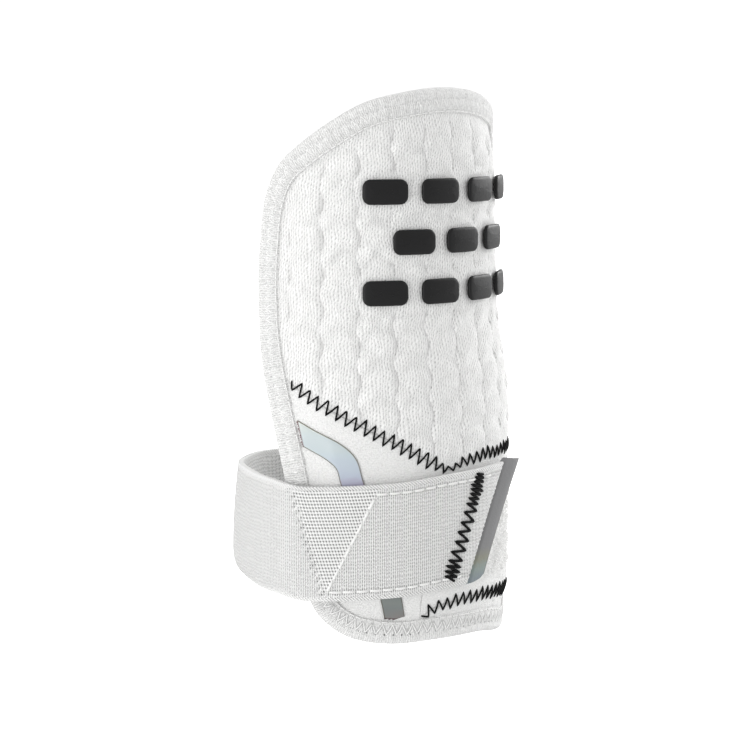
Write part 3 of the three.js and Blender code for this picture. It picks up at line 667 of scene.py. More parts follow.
# Quilted cover
quilt = {
    "pitch": (9.7, 9.25),
    "origin": (-1.9, 41.95),   # the middle of one sewn slit
    "tracks": (-7, 6),         # creases from the little finger to the thumb
    "shares": (
        0.0, 0.018, 0.045, 0.09, 0.15, 0.22, 0.3, 0.38, 0.46,
        0.54, 0.62, 0.7, 0.77, 0.83, 0.88, 0.925, 0.96, 0.982,
    ),
    "bow": (0.12, 0.05),       # how far a crease bows towards the thumb at each slit, and where
    "wander": (0.05, 24),      # further unevenness of the creases, and its period
    "wanderStart": 5,          # which comes in over this height above the seam
    "large": (0.75, (0.0, 0.15), (0.3, 0.95), (0.2, 0.56)),   # pads beside slits: height, reaches left, up
    "small": (0.7, (0.06, 0.27), (0.08, 0.32), (0.12, 0.52)),   # pads between them: height, reaches
    "smallPlace": (0.16, 0.7),   # their share of the pitch, and their lean
    "slit": (0.42, 0.02, (0.26, 0.46), 0.5),   # depth, half width, half lengths, depth left between
    "uneven": (0.3, 21),       # how much the pads differ, and over what distance
    "crumple": (0.05, 3.4),    # fine unevenness of the cloth, in the same way
    "blend": 0.1,              # softness of the valleys between pads
    "sink": 0.2,               # the whole quilting lies this much lower
    "rows": 205,
    "top": 116.5,
    "fade": 4.0,
    "edgeDrop": 1.45,        # the cloth comes up level with the binding
    "edgeReach": (6.8, 15.0),
    "reliefReach": (6.6, 11.0),
    "tuck": (6.45, 5.9),     # and dives under it between these insets
    "tuckDepth": 0.1,
    "hiddenInset": 2.4,      # ending this far inside the edge
    "held": (0.06, (7.0, 11.0)),   # half width that a crease holds down, and the insets that the edge does
}


def coverFace(inset):
    drop = -quilt["edgeDrop"] * (1 - smoothstep(inset, *quilt["edgeReach"]))
    tucked = smoothstep(-inset, -quilt["tuck"][0], -quilt["tuck"][1])
    return drop + tucked * (-guard["edgeDrop"] - quilt["tuckDepth"] - drop)


def quiltGrid():
    # columns of points that follow the bowed creases, so that each crease lies on one of them
    track = np.arange(*quilt["tracks"])[:, None] + np.array(quilt["shares"])
    arc = quilt["origin"][0] + quilt["pitch"][0] * track.ravel()
    seam = seamHeight(guard["quiltSeam"], arc)
    height = seam + np.linspace(0, 1, quilt["rows"])[:, None] * (quilt["top"] - seam)
    up = (height - quilt["origin"][1]) / quilt["pitch"][1]
    bow, shift = quilt["bow"]
    wander, period = quilt["wander"]
    sway = bow / 2 * (np.cos(2 * np.pi * (up + shift)) - 1)
    sway = sway + wander * waves(arc + 0 * height, height, period, seed=3)
    arc = arc + quilt["pitch"][0] * sway * smoothstep(height - seam, 0, quilt["wanderStart"])
    return np.broadcast_to(track.ravel(), height.shape), up, arc, height


def quiltRelief(track, up, arc, height):
    # pads that rise slowly and fall steeply at the sewn slits, with lower leaning pads between them
    across = (arc - quilt["origin"][0]) / quilt["pitch"][0]
    inside = -track % 1
    level = np.abs(up - np.round(up))
    peak, fall, rise, tall = quilt["large"]
    large = smoothstep(inside, *fall) * (1 - smoothstep(inside, *rise)) * (1 - smoothstep(level, *tall))
    uneven, period = quilt["uneven"]
    large = peak * large * (1 + uneven * waves(arc, height, period, seed=40))
    deep, half, long, kept = quilt["slit"]
    gap = np.minimum(inside, 1 - inside)
    slit = deep * np.exp(-(gap / half) ** 2) * (1 - (1 - kept) * smoothstep(level, *long))
    peak, left, right, tall = quilt["small"]
    level = up - 0.5 - np.round(up - 0.5)
    middle, lean = quilt["smallPlace"]
    aside = across - middle - lean * level
    aside = aside - np.round(aside)
    small = (1 - smoothstep(-aside, *left)) * (1 - smoothstep(aside, *right))
    small = small * (1 - smoothstep(np.abs(level), *tall))
    small = peak * small * (1 + uneven * waves(arc, height, period, seed=41))
    blend = quilt["blend"]
    pillow = blend * np.log(np.exp(large / blend) + np.exp(small / blend)) - blend * math.log(2)
    crumple, period = quilt["crumple"]
    return pillow - slit + crumple * waves(arc, height, period, seed=9)


# Air under the cover, simulated at twenty times life size
air = {"scale": 20.0, "pressure": 4.0, "frames": 16, "quality": 4, "cap": 0.4 * mm}


def inflate(piece):
    # a cloth simulation: air under the cover rounds it between the places where it is sewn down
    mesh = piece.data
    start = np.empty(len(mesh.vertices) * 3, np.float32)
    mesh.vertices.foreach_get("co", start)
    mesh.vertices.foreach_set("co", start * air["scale"])
    held = np.empty(len(mesh.vertices), np.float32)
    mesh.attributes["held"].data.foreach_get("value", held)
    group = piece.vertex_groups.new(name="sewn")
    for index in np.flatnonzero(held > 0.01):
        group.add([int(index)], float(held[index]), "REPLACE")
    cloth = piece.modifiers.new("air", "CLOTH")
    cloth.settings.quality = air["quality"]
    cloth.settings.use_pressure = True
    cloth.settings.uniform_pressure_force = air["pressure"]
    cloth.settings.vertex_group_mass = group.name
    cloth.settings.effector_weights.gravity = 0
    cloth.collision_settings.use_collision = False
    cloth.point_cache.frame_end = air["frames"]
    for step in range(1, air["frames"] + 1):
        bpy.context.scene.frame_set(step)
    blown = piece.evaluated_get(bpy.context.evaluated_depsgraph_get())
    spots = np.empty_like(start)
    blown.data.vertices.foreach_get("co", spots)
    move = (spots / air["scale"] - start).reshape(-1, 3)
    far = np.linalg.norm(move, axis=1)
    move *= (air["cap"] * np.tanh(far / air["cap"]) / np.maximum(far, 1e-9))[:, None]
    print("cover blown up: mean move", round(float(far.mean()) / mm, 2), "mm")
    piece.modifiers.remove(cloth)
    piece.vertex_groups.remove(group)
    mesh.vertices.foreach_set("co", (start.reshape(-1, 3) + move).ravel())
    mesh.update()
    bpy.context.scene.frame_set(1)


def quiltedCover():
    track, up, arc, height = quiltGrid()
    inset = edgeDistance(arc, height)
    seat = 1 - smoothstep(lugDistance(arc, height), *lug["apron"])
    relief = (quiltRelief(track, up, arc, height) - quilt["sink"]) * (1 - seat) + lug["seat"] * seat
    fade = smoothstep(height - seamHeight(guard["quiltSeam"], arc), 0, quilt["fade"])
    lift = coverFace(inset) + relief * fade * smoothstep(inset, *quilt["reliefReach"])
    piece = clothGrid("quilted_cover", place(arc, height, lift))
    nameVectors(piece, "pattern", (arc, height, inset))
    gap = np.minimum(-track % 1, track % 1)
    half, reach = quilt["held"]
    _, _, long, kept = quilt["slit"]
    sewn = np.exp(-(gap / half) ** 2) * (1 - (1 - kept) * smoothstep(np.abs(up - np.round(up)), *long))
    sewn = np.maximum(sewn, np.maximum(seat, np.maximum(1 - fade, 1 - smoothstep(inset, *reach))))
    held = piece.data.attributes.new("held", "FLOAT", "POINT")
    held.data.foreach_set("value", np.ravel(sewn).astype(np.float32))
    trimFaces(piece, inset < quilt["hiddenInset"])
    inflate(piece)
    modify(piece, "SOLIDIFY", thickness=guard["coverThickness"] * mm, offset=-1)
    dress(piece, knit, "knit_white", "upper_cover")


quiltedCover()
print("quilted cover made")

# Smooth covers below the seam
loopCover = {
    "step": 0.9,
    "uneven": (0.08, 14),        # slow waves of the cloth, and their period
    "fuzz": 0.22,                # height of the lifted pile
    "fuzzArcs": (8.0, 16.0),     # arcs between which it comes in
    "fuzzPeriods": (2.6, 1.7),
    "fuzzLook": 1.4,             # roughness of its finish
    "seamGap": 0.1,
    "arcs": (-58, 43),
    "heelArcs": (-15.1, 42),
    "heelCorner": -15.2,         # left of it the lower cover runs down to the binding
    "seamArcs": (-15.25, -15.15, -12.3, -7.75),   # columns of points at the seams' corners
    "foot": -36.0,
    "heelFoot": -32.0,
}


def fuzzShare(arc):
    # the pile is lifted where the strap is closed and opened
    return smoothstep(arc, *loopCover["fuzzArcs"])


def loopPiece(name, node, arcs, low, high):
    shares = np.linspace(0, 1, max(int(np.max(high - low) / loopCover["step"]), 12))[:, None]
    arc = np.broadcast_to(arcs, (len(shares), len(arcs)))
    height = low + shares * (high - low)
    inset = edgeDistance(arc, height)
    uneven, period = loopCover["uneven"]
    lift = coverFace(inset) + uneven * waves(arc, height, period, seed=11)
    coarse, fine = loopCover["fuzzPeriods"]
    ruffled = waves(arc, height, coarse, seed=13) + waves(arc, height, fine, seed=14)
    lift = lift + loopCover["fuzz"] * fuzzShare(arc) * ruffled
    piece = clothGrid(name, place(arc, height, lift))
    nameVectors(piece, "pattern", (arc, height, fuzzShare(arc) * loopCover["fuzzLook"]))
    trimFaces(piece, inset < quilt["hiddenInset"])
    modify(piece, "SOLIDIFY", thickness=guard["coverThickness"] * mm, offset=-1)
    dress(piece, loopCloth, "loop_white", node)


arcs = np.sort(np.r_[np.arange(*loopCover["arcs"], loopCover["step"]), loopCover["seamArcs"]])
low = seamHeight(guard["heelSeam"], arcs) + loopCover["seamGap"]
low = np.where(arcs < loopCover["heelCorner"], loopCover["foot"], low)
high = seamHeight(guard["quiltSeam"], arcs) - loopCover["seamGap"]
loopPiece("lower_cover_cloth", "lower_cover", arcs, low, high)
arcs = np.arange(*loopCover["heelArcs"], loopCover["step"])
high = seamHeight(guard["heelSeam"], arcs) - loopCover["seamGap"]
loopPiece("heel_cover_cloth", "heel_cover", arcs, np.full_like(arcs, loopCover["heelFoot"]), high)
print("loop covers made")

# Padding with its lining
lining = {"step": 1.6, "arcs": (-59, 43), "heights": (-30, 116), "uneven": (0.12, 24), "thickness": 1.3}


def padLining():
    arcs = np.arange(*lining["arcs"], lining["step"])
    heights = np.arange(*lining["heights"], lining["step"])
    arc, height = np.meshgrid(arcs, heights)
    inset = edgeDistance(arc, height)
    uneven, period = lining["uneven"]
    lift = innerFace(arc, height) + uneven * waves(arc, height, period, seed=21)
    piece = clothGrid("foam_lining", place(arc, height, lift))
    nameVectors(piece, "pattern", (arc, height, inset))
    trimFaces(piece, inset < quilt["hiddenInset"])
    pickOnly(piece)
    bpy.ops.object.mode_set(mode="EDIT")
    bpy.ops.mesh.select_all(action="SELECT")
    bpy.ops.mesh.flip_normals()
    bpy.ops.object.mode_set(mode="OBJECT")
    modify(piece, "SOLIDIFY", thickness=lining["thickness"] * mm, offset=-1)
    dress(piece, liningCloth, "lining", "pad_body")


padLining()
print("lining made")

# Edge binding
binding = {
    "section": (   # depth in from the edge, lift: outer leg, turn, inner leg, then back inside the fold
        (6.6, -2.1), (6.7, -1.7), (6.45, -1.36), (5.9, -1.1), (5.3, -0.78), (4.3, -0.62), (3.4, -0.72),
        (2.85, -0.98), (2.3, -0.72), (1.7, -0.55), (1.1, -0.72), (0.5, -1.25), (0.12, -2.2), (0.0, -3.4),
        (0.15, -4.6), (0.6, -5.6), (1.4, -6.2), (3.0, -6.4), (5.2, -6.4), (6.4, -6.3), (6.6, -5.9),
        (6.55, -5.25), (4.0, -5.15), (1.6, -5.1), (1.25, -4.6), (1.25, -2.4), (1.6, -1.9), (4.0, -1.85),
    ),
    "stations": 1100,
    "stitchPitch": 3.0,
    "outerRow": 2.85,           # depths of the two rows of needle holes
    "innerRow": 5.6,
    "legLift": (0.1, -0.08),    # arch of a stitch between them, and the lift of its ends
    "sunk": (0.12, (-22, -4)),  # it lies this much deeper above the lower edge, from height to height
    "dashRow": 6.15,            # depth of the row of dashes
    "dashPitch": 2.2,
    "dashShare": (0.1, 0.85),   # where in its pitch a dash starts and ends
    "dashLift": (0.16, -1.02),
    "pucker": 0.16,             # how far the tape rises between stitches
    "uneven": 0.06,
    "grooveAndShade": (0.3, 1.2, (-24, -4)),   # strength of the groove and holes, sunk by bump and painted as shade, and the further painted shade that the lower edge adds
    "threadRadius": 0.18 * mm,
}


def edgeFrame(count):
    # evenly spaced points of the edge, their inward directions and their runs
    line, length = smoothCurve(guard["edge"], True, count)
    ahead = np.roll(line, -1, axis=0) - np.roll(line, 1, axis=0)
    inward = np.stack([-ahead[:, 1], ahead[:, 0]], axis=1) / np.linalg.norm(ahead, axis=1)[:, None]
    return line, inward, np.arange(count) * length / count


stitchPitch = edgeLength / round(edgeLength / binding["stitchPitch"])
bindingTape = bindingMaterial(stitchPitch, binding["outerRow"], binding["innerRow"])


def bindingPiece():
    count = binding["stations"]
    line, inward, run = edgeFrame(count)
    depth, lift = np.array(binding["section"]).T
    sides = len(depth)
    arc = line[:, None, 0] + inward[:, None, 0] * depth
    height = line[:, None, 1] + inward[:, None, 1] * depth
    beat = np.abs(np.sin(np.pi * run / stitchPitch))[:, None]
    outerLeg = lift > -2
    uneven = binding["uneven"] * np.sin(run / 3.1 + 2 * np.sin(run / 17))[:, None]
    raised = lift + binding["pucker"] * (beat - 0.6) * (outerLeg & (depth < 6)) + uneven
    runs = np.broadcast_to(run[:, None], arc.shape)
    depths = np.broadcast_to(depth, arc.shape)
    loop = np.ix_(np.arange(count + 1) % count, np.arange(sides + 1) % sides)
    piece = clothGrid("edge_binding_tape", place(arc, height, raised)[loop])
    # weight of the holes and groove: bump, and painted shade that is stronger along the lower edge
    plain, more, heights = binding["grooveAndShade"]
    below = 1 - smoothstep(line[:, None, 1], *heights)
    grooveAndShade = outerLeg * (plain + more * below)
    nameVectors(piece, "pattern", (runs[loop], depths[loop], grooveAndShade[loop]))
    pickOnly(piece)
    bpy.ops.object.mode_set(mode="EDIT")
    bpy.ops.mesh.select_all(action="SELECT")
    bpy.ops.mesh.remove_doubles(threshold=0.001 * mm)
    bpy.ops.mesh.normals_make_consistent(inside=False)
    bpy.ops.object.mode_set(mode="OBJECT")
    dress(piece, bindingTape, "binding_white", "edge_binding")


def bindingStitches():
    # white zigzag between the two needle rows, then dashes beside the tape's inner edge
    line, inward, run = edgeFrame(2400)

    def onBinding(at, depth):
        # arc and height of points this far round the edge and in from it
        start = np.stack([np.interp(at, run, line[:, i], period=edgeLength) for i in (0, 1)])
        ahead = np.stack([np.interp(at, run, inward[:, i], period=edgeLength) for i in (0, 1)])
        return start + ahead * depth

    rows = (binding["outerRow"], binding["innerRow"])
    legDepths, legLifts = np.array(binding["section"][10:0:-1]).T   # the outer leg, from the edge inwards
    arch, ends = binding["legLift"]
    sunk, heights = binding["sunk"]
    strands = []
    t = np.linspace(0, 1, 7)
    for leg in range(2 * round(edgeLength / stitchPitch)):
        depth = rows[leg % 2] + t * (rows[(leg + 1) % 2] - rows[leg % 2])
        arc, height = onBinding((leg + t) * stitchPitch / 2 % edgeLength, depth)
        lift = np.interp(depth, legDepths, legLifts) + arch * np.sin(np.pi * t) + ends
        strands.append(place(arc, height, lift - sunk * smoothstep(height, *heights)))
    pitch = edgeLength / round(edgeLength / binding["dashPitch"])
    share = np.linspace(*binding["dashShare"], len(t))
    arch, ends = binding["dashLift"]
    for dash in range(round(edgeLength / pitch)):
        arc, height = onBinding((dash + share) * pitch, binding["dashRow"])
        strands.append(place(arc, height, arch * np.sin(np.pi * t) ** 0.6 + ends))
    threadPiece("binding_stitches", strands, binding["threadRadius"], whiteThread, "binding_white")


bindingPiece()
bindingStitches()
print("binding made")

# Film stripe
stripe = {
    "table": (   # arc, height, half width
        (-50.5, 30.4, 2.6), (-44.6, 27.2, 2.65), (-38.2, 23.8, 2.75), (-35.2, 20.8, 2.8),
        (-33.6, 15.4, 2.8), (-23.5, -16.6, 2.65), (-22.4, -21.2, 2.7),
    ),
    "lift": 0.12,
    "thickness": 0.25,
    "trim": 6.75,         # it ends at this inset from the guard's edge
    "rust": (6.6, 1.2),   # inset where the dark red at its ends starts, and how far it reaches
}


def stripePiece():
    table = np.array(stripe["table"])
    line, _ = smoothCurve(table[:, :2], False, 160)
    half = np.interp(line[:, 1], table[::-1, 1], table[::-1, 2])
    ahead = np.gradient(line, axis=0)
    ahead /= np.linalg.norm(ahead, axis=1)[:, None]
    sides = np.linspace(-1, 1, 17)
    arc = line[:, None, 0] + ahead[:, None, 1] * half[:, None] * sides
    height = line[:, None, 1] - ahead[:, None, 0] * half[:, None] * sides
    inset = edgeDistance(arc, height)
    lift = coverFace(inset) + stripe["lift"] + stripe["thickness"]
    piece = clothGrid("film_stripe", place(arc, height, lift))
    start, reach = stripe["rust"]
    ends = np.clip((inset - start) / reach, 0, 1)
    nameVectors(piece, "pattern", (np.broadcast_to(sides, arc.shape), height, ends))
    trimFaces(piece, inset < stripe["trim"])
    modify(piece, "SOLIDIFY", thickness=stripe["thickness"] * mm, offset=-1)
    dress(piece, film, "film_iridescent", "stripe")


stripePiece()
print("stripe made")

# Wrist strap
strap = {
    "width": 30.0,
    "thickness": 1.4,
    "rise": 1.6,            # the front stretch climbs this much towards the thumb
    "frontRadius": 49.7,
    "innerRadius": 39.5,
    "innerAngles": (34, 42, 50),
    "frontAngles": (-62, -52, -42, -32, -22, -12, -2, 9, 20, 30, 40),
    "climbAngles": (-62, 20),
    "wrist": (
        (33.0, -19.4), (32.0, -10.2), (26.5, -0.3), (16.3, 6.6), (3.4, 11.2), (-10.2, 12.6),
        (-20.6, 11.8), (-30.0, 8.0), (-34.4, 5.2), (-38.5, -0.6), (-42.9, -11.1), (-44.1, -17.9),
    ),
    "end": (                # up and along of the slanted free end
        (-2, -5.0), (0, -4.1), (5, -1.85), (10, 0.55), (15, 3.05),
        (20, 5.8), (25, 9.1), (30, 12.9), (32, 14.5),
    ),
    "endSpan": 6.0,         # the last stations fan out over this length
    "fray": (0.22, 5.4),    # unevenness of the cut end: depth and rate
    "raise": (0.8, -26.0, -9.0),     # a further lift of the front stretch, and where it comes in
    "hollow": (1.3, -48.0, -58.0),   # the lower edge draws up towards the turn, and where
    "crest": (1.15, -48.0, -60.0),   # so does the upper edge
    "back": (0.75, -80.0, -105.0),   # the stretch behind the wrist lies higher
    "turn": (-35.0, 4.0, 34.0),      # middle and reach of the turn
    "belly": (0.95, 1.75, 2.6),      # its fullness, and how far the upper and lower edges draw in
    "bellyCurve": (2.2, 14),         # how close to those edges
    "lift": (0.8, 1.3),     # and the turn stands higher, at the lower and upper edge
    "stations": 330,
    "rows": 56,
    "round": 0.35,
    "patchLine": ((-44.6, 1.0), (-30.2, 30.0)),   # along and up of the slanted stitch row
    "bend": (-53.3, 8.6),   # along where the open mesh starts, and how far on at the lower edge
    "weave": (1.36, 0.6, 0.74),      # strength of the open mesh, and of the close weave in front and behind
    "turnPaintedLight": (1.3, -92.0, -80.0),     # the turn is painted paler, as painted light where the key lamp falls on it, and where that comes in
    "topRow": 27.6,         # up of the two rows of topstitching
    "lowRow": 2.4,
}


def onCircle(radius, degrees):
    angle = math.radians(degrees)
    return radius * math.sin(angle), -radius * math.cos(angle)


strapPoints = [onCircle(strap["innerRadius"], a) for a in strap["innerAngles"]]
strapPoints += list(strap["wrist"]) + [onCircle(strap["frontRadius"], a) for a in strap["frontAngles"]]
strapLine, strapLength = smoothCurve(strapPoints, False, 1500)
strapRun = np.linspace(0, strapLength, len(strapLine))
frontZero = strapLength - strap["frontRadius"] * math.radians(strap["frontAngles"][-1])
climbFrom, climbTo = (strap["frontRadius"] * math.radians(a) for a in strap["climbAngles"])


def strapPlace(along, up, lift):
    # along is counted from the middle of the guard's front, up from the lower edge, lift from mid thickness
    run = np.asarray(along, float) + frontZero
    x, y = (np.interp(run, strapRun, strapLine[:, i]) for i in (0, 1))
    ahead = np.gradient(strapLine, axis=0)
    ahead /= np.linalg.norm(ahead, axis=1)[:, None]
    outX, outY = np.interp(run, strapRun, ahead[:, 1]), np.interp(run, strapRun, -ahead[:, 0])
    turnX, turnY, reach = strap["turn"]
    turn = 1 - smoothstep(np.hypot(x - turnX, y - turnY), 0, reach)
    share = np.clip(up / strap["width"], 0, 1)
    belly, draw, curl = strap["belly"]
    upper, lower = strap["bellyCurve"]
    out = lift + turn * (belly - draw * share ** upper - curl * (1 - share) ** lower)
    climb = np.maximum((along - climbFrom) / (climbTo - climbFrom), 0)
    high, fromAlong, toAlong = strap["raise"]
    height = up - strap["width"] / 2 + strap["rise"] * climb + high * smoothstep(along, fromAlong, toAlong)
    for name, weight in (("hollow", (1 - share) ** 2), ("crest", share), ("back", 1)):
        high, fromAlong, toAlong = strap[name]
        height = height + high * weight * smoothstep(-along, -fromAlong, -toAlong)
    height = height + turn * (strap["lift"][0] + share * (strap["lift"][1] - strap["lift"][0]))
    return np.stack(np.broadcast_arrays(x + outX * out, y + outY * out, height), axis=-1) * mm


def strapEnd(up):
    return np.interp(up, *np.array(strap["end"]).T)


def patchSeam(up):
    # along of the slanted stitch row at the patch's edge
    (lowAlong, lowUp), (highAlong, highUp) = strap["patchLine"]
    return lowAlong + (up - lowUp) / (highUp - lowUp) * (highAlong - lowAlong)


def strapPiece():
    up = np.linspace(0, strap["width"], strap["rows"])[:, None]
    common = strapEnd(0) - strap["endSpan"]
    first = np.linspace(-frontZero, common, strap["stations"])
    last = np.linspace(0, 1, 40)[1:]
    fray, rate = strap["fray"]
    end = strapEnd(up) + fray * np.sin(up * rate)
    along = np.hstack([np.broadcast_to(first, (len(up), len(first))), common + last * (end - common)])
    ups = np.broadcast_to(up, along.shape)
    piece = clothGrid("wrist_strap", strapPlace(along, ups, strap["thickness"] / 2))
    front = smoothstep(along - patchSeam(ups), -0.4, 0.4)
    start, slant = strap["bend"]
    bend = start + slant * (1 - ups / strap["width"])
    pulled = smoothstep(along - bend, -2.0, 0.4) * (1 - front)
    behind = 1 - smoothstep(along - bend, -0.6, 2.0)
    selvage = np.minimum(ups, strap["width"] - ups)
    plain = smoothstep(selvage, 0.5, 1.4)
    nameVectors(piece, "pattern", (along, ups, selvage))
    # painted shade: a darker line along the two topstitch rows of the front, which also deepens the bump
    sewn = np.minimum(abs(ups - strap["topRow"]), abs(ups - strap["lowRow"])) + 3 * (1 - front)
    sewn = 1 - smoothstep(sewn, 0.2, 1.0)
    openMesh, closeFront, closeBehind = strap["weave"]
    # painted light: the stretch behind is lightened towards the turn
    turnPaintedLight, fromAlong, toAlong = strap["turnPaintedLight"]
    nameVectors(piece, "zones", (
        pulled * openMesh * plain,
        (front * closeFront + behind * closeBehind) * plain,
        sewn - turnPaintedLight * behind * smoothstep(along, fromAlong, toAlong),
    ))
    modify(piece, "SOLIDIFY", thickness=strap["thickness"] * mm, offset=-1)
    roundEdges(piece, strap["round"], 3)
    dress(piece, elastic, "elastic_white", "strap")


strapPiece()
print("strap made")

# Hook patch under the strap's front
hook = {
    "ups": (2.2, 27.8),
    "start": 1.5,   # past the slanted stitch row
    "end": 4.6,     # short of the strap's end
    "gap": 0.15,
    "thickness": 0.8,
}


def hookPatch():
    up = np.linspace(*hook["ups"], 20)[:, None]
    start = patchSeam(up) + hook["start"]
    along = start + np.linspace(0, 1, 40) * (strapEnd(up) - hook["end"] - start)
    ups = np.broadcast_to(up, along.shape)
    piece = clothGrid("hook_patch_tape", strapPlace(along, ups, -strap["thickness"] / 2 - hook["gap"]))
    nameVectors(piece, "pattern", (along, ups, ups))
    modify(piece, "SOLIDIFY", thickness=hook["thickness"] * mm, offset=-1)
    dress(piece, hookTape, "hook_white", "hook_patch")


hookPatch()

# Pull tab along the strap's slanted end
tab = {
    "under": 1.8,   # how far it is sewn under the strap
    "reach": 7.5,   # and reaches past the strap's end
    "foot": ((0.0, 0.2), (0.19, -0.6), (0.6, -0.4), (0.85, 0.1), (1.0, 1.1)),   # share of the width, up
    "head": ((0.0, 29.0), (0.27, 29.3), (0.32, 30.8), (1.0, 29.8)),
    "gap": 0.3,
    "lift": (0.9, 2.6),   # clear of the strap's underside, then off the guard at the upper corner
    "clearing": (0.2, 2.4),   # past the strap's end, where the first of these comes in
    "curl": 1.5,
    "thickness": 0.7,
    "round": 0.15,
}


def tabPiece():
    across = np.linspace(0, 1, 25)
    foot, head = (np.interp(across, *np.array(tab[end]).T) for end in ("foot", "head"))
    share = np.linspace(0, 1, 60)[:, None]
    up = foot + share * (head - foot)
    past = across * (tab["under"] + tab["reach"]) - tab["under"]
    along = strapEnd(up) + past
    clear, corner = tab["lift"]
    lift = clear * smoothstep(past, *tab["clearing"]) - strap["thickness"] / 2 - tab["gap"]
    curl = (np.maximum(up, 0) / strap["width"]) ** tab["curl"]
    lift = lift + corner * smoothstep(past, 0, tab["reach"]) * curl
    piece = clothGrid("pull_tab_tape", strapPlace(along, up, lift))
    nameVectors(piece, "pattern", (along, up, np.broadcast_to(across, along.shape)))
    modify(piece, "SOLIDIFY", thickness=tab["thickness"] * mm, offset=-1)
    roundEdges(piece, tab["round"], 2)
    dress(piece, coatedTape, "label_grey", "pull_tab")


tabPiece()
print("tab and hook patch made")

# Sewing threads
thread = {
    "seamRadius": 0.235 * mm,
    "seamPitches": ((0, 2.7), (0.72, 2.7), (1, 3.7)),   # share of the seam, length of a tooth
    "seams": (   # piece, seam, its arcs, then share of the run and half width of a tooth
        ("quilt_seam_thread", "quiltSeam", (-49.6, 36.0),
         ((0, 0.6), (0.03, 2.0), (0.46, 2.0), (0.5, 1.0), (0.56, 0.9), (0.62, 1.7), (1, 1.9))),
        ("heel_seam_thread", "heelSeam", (-14.3, 36.0), ((0, 0.6), (0.05, 1.9), (1, 2.2))),
    ),
    "seamLoft": (0.3, 0.02),   # how far a stitch arches off the cloth, and how deep its ends lie
    "spread": ((0.86, 1.12), 0.12),   # unevenness of the teeth's widths and corners
    "barRadius": 0.35 * mm,
    "barLine": ((0.9, 28.9), (-10.4, 1.8)),   # along and up of its ends
    "barPitches": ((0, 1.0), (0.26, 1.3), (0.32, 2.7), (0.76, 2.7), (0.82, 1.5), (1, 1.2)),
    "barHalves": (
        (0, 1.2), (0.05, 2.0), (0.12, 2.6), (0.22, 2.0), (0.32, 2.3), (0.76, 2.3), (0.9, 2.4), (1, 1.8),
    ),
    "barLoft": (0.35, 0.0),
    "dash": (2.5, 0.9),     # length of a topstitch and of the gap after it
    "dashStart": 0.4,
    "dashLoft": (0.4, 0.2),
    "dashRadius": 0.33 * mm,
    "topRun": (-31.4, 8.6),     # along of the two rows of topstitching
    "lowRun": (-43.4, -6.0),
    "slantTrim": ((0.6, 1.4), (-1.0, -2.4)),   # the slanted row's ends, from those of the patch's line
    "anchor": ((2.0, 2.6), (9.0, 2.6), (9.0, 27.4), (2.0, 27.4), (2.0, 2.6)),   # box at the inner end
}


def lineLength(points):
    return np.r_[0, np.cumsum(np.linalg.norm(np.diff(points, axis=0), axis=1))]


def zigzag(points, pitches, halves):
    # corner points of a zigzag along a line; pitch and half width follow tables over the run
    run = lineLength(points)
    draw = np.random.default_rng(17)
    widths, stray = thread["spread"]
    at, side, corners = 0.0, 1, []
    while at < run[-1]:
        spot = np.array([np.interp(at, run, points[:, i]) for i in (0, 1)])
        fore = np.array([np.interp(min(at + 0.5, run[-1]), run, points[:, i]) for i in (0, 1)])
        aft = np.array([np.interp(max(at - 0.5, 0), run, points[:, i]) for i in (0, 1)])
        ahead = (fore - aft) / np.linalg.norm(fore - aft)
        half = np.interp(at / run[-1], *np.array(halves).T)
        half = half * draw.uniform(*widths)
        corners.append(spot + side * half * np.array([-ahead[1], ahead[0]]) + draw.uniform(-stray, stray, 2))
        side = -side
        at += np.interp(at / run[-1], *np.array(pitches).T) / 2
    return np.array(corners)


def stitchRun(corners, onSurface, loft, sink):
    # a thread through the corner points that dips into the cloth at each needle hole
    points = []
    for a, b in zip(corners[:-1], corners[1:]):
        t = np.linspace(0, 1, 9)[:-1]
        flat = a + t[:, None] * (b - a)
        points.append(onSurface(flat[:, 0], flat[:, 1], loft * np.sin(np.pi * t) ** 0.6 - sink))
    return np.vstack(points)


def onCover(arc, height, lift):
    return place(arc, height, coverFace(edgeDistance(arc, height)) + lift)


def onStrap(along, up, lift):
    return strapPlace(along, up, strap["thickness"] / 2 + lift)


def seamPoints(seam, fromArc, toArc):
    arc = np.linspace(fromArc, toArc, 200)
    return np.stack([arc, seamHeight(seam, arc)], axis=1)


for name, seam, (fromArc, toArc), halves in thread["seams"]:
    corners = zigzag(seamPoints(guard[seam], fromArc, toArc), thread["seamPitches"], halves)
    strand = stitchRun(corners, onCover, *thread["seamLoft"])
    threadPiece(name, [strand], thread["seamRadius"], blackThread, "rubber_black")

bar = zigzag(np.linspace(*thread["barLine"], 100), thread["barPitches"], thread["barHalves"])
strand = stitchRun(bar, onStrap, *thread["barLoft"])
threadPiece("strap_bar_thread", [strand], thread["barRadius"], blackThread, "rubber_black")


def dashes(points, onSurface):
    run = lineLength(points)
    length, gap = thread["dash"]
    loft, sink = thread["dashLoft"]
    t = np.linspace(0, 1, 8)
    strands = []
    for start in np.arange(thread["dashStart"], run[-1] - length, length + gap):
        along, up = (np.interp(start + t * length, run, points[:, i]) for i in (0, 1))
        strands.append(onSurface(along, up, loft * np.sin(np.pi * t) ** 0.5 - sink))
    return strands


def onStrapBack(along, up, lift):
    return strapPlace(along, up, -strap["thickness"] / 2 - lift)


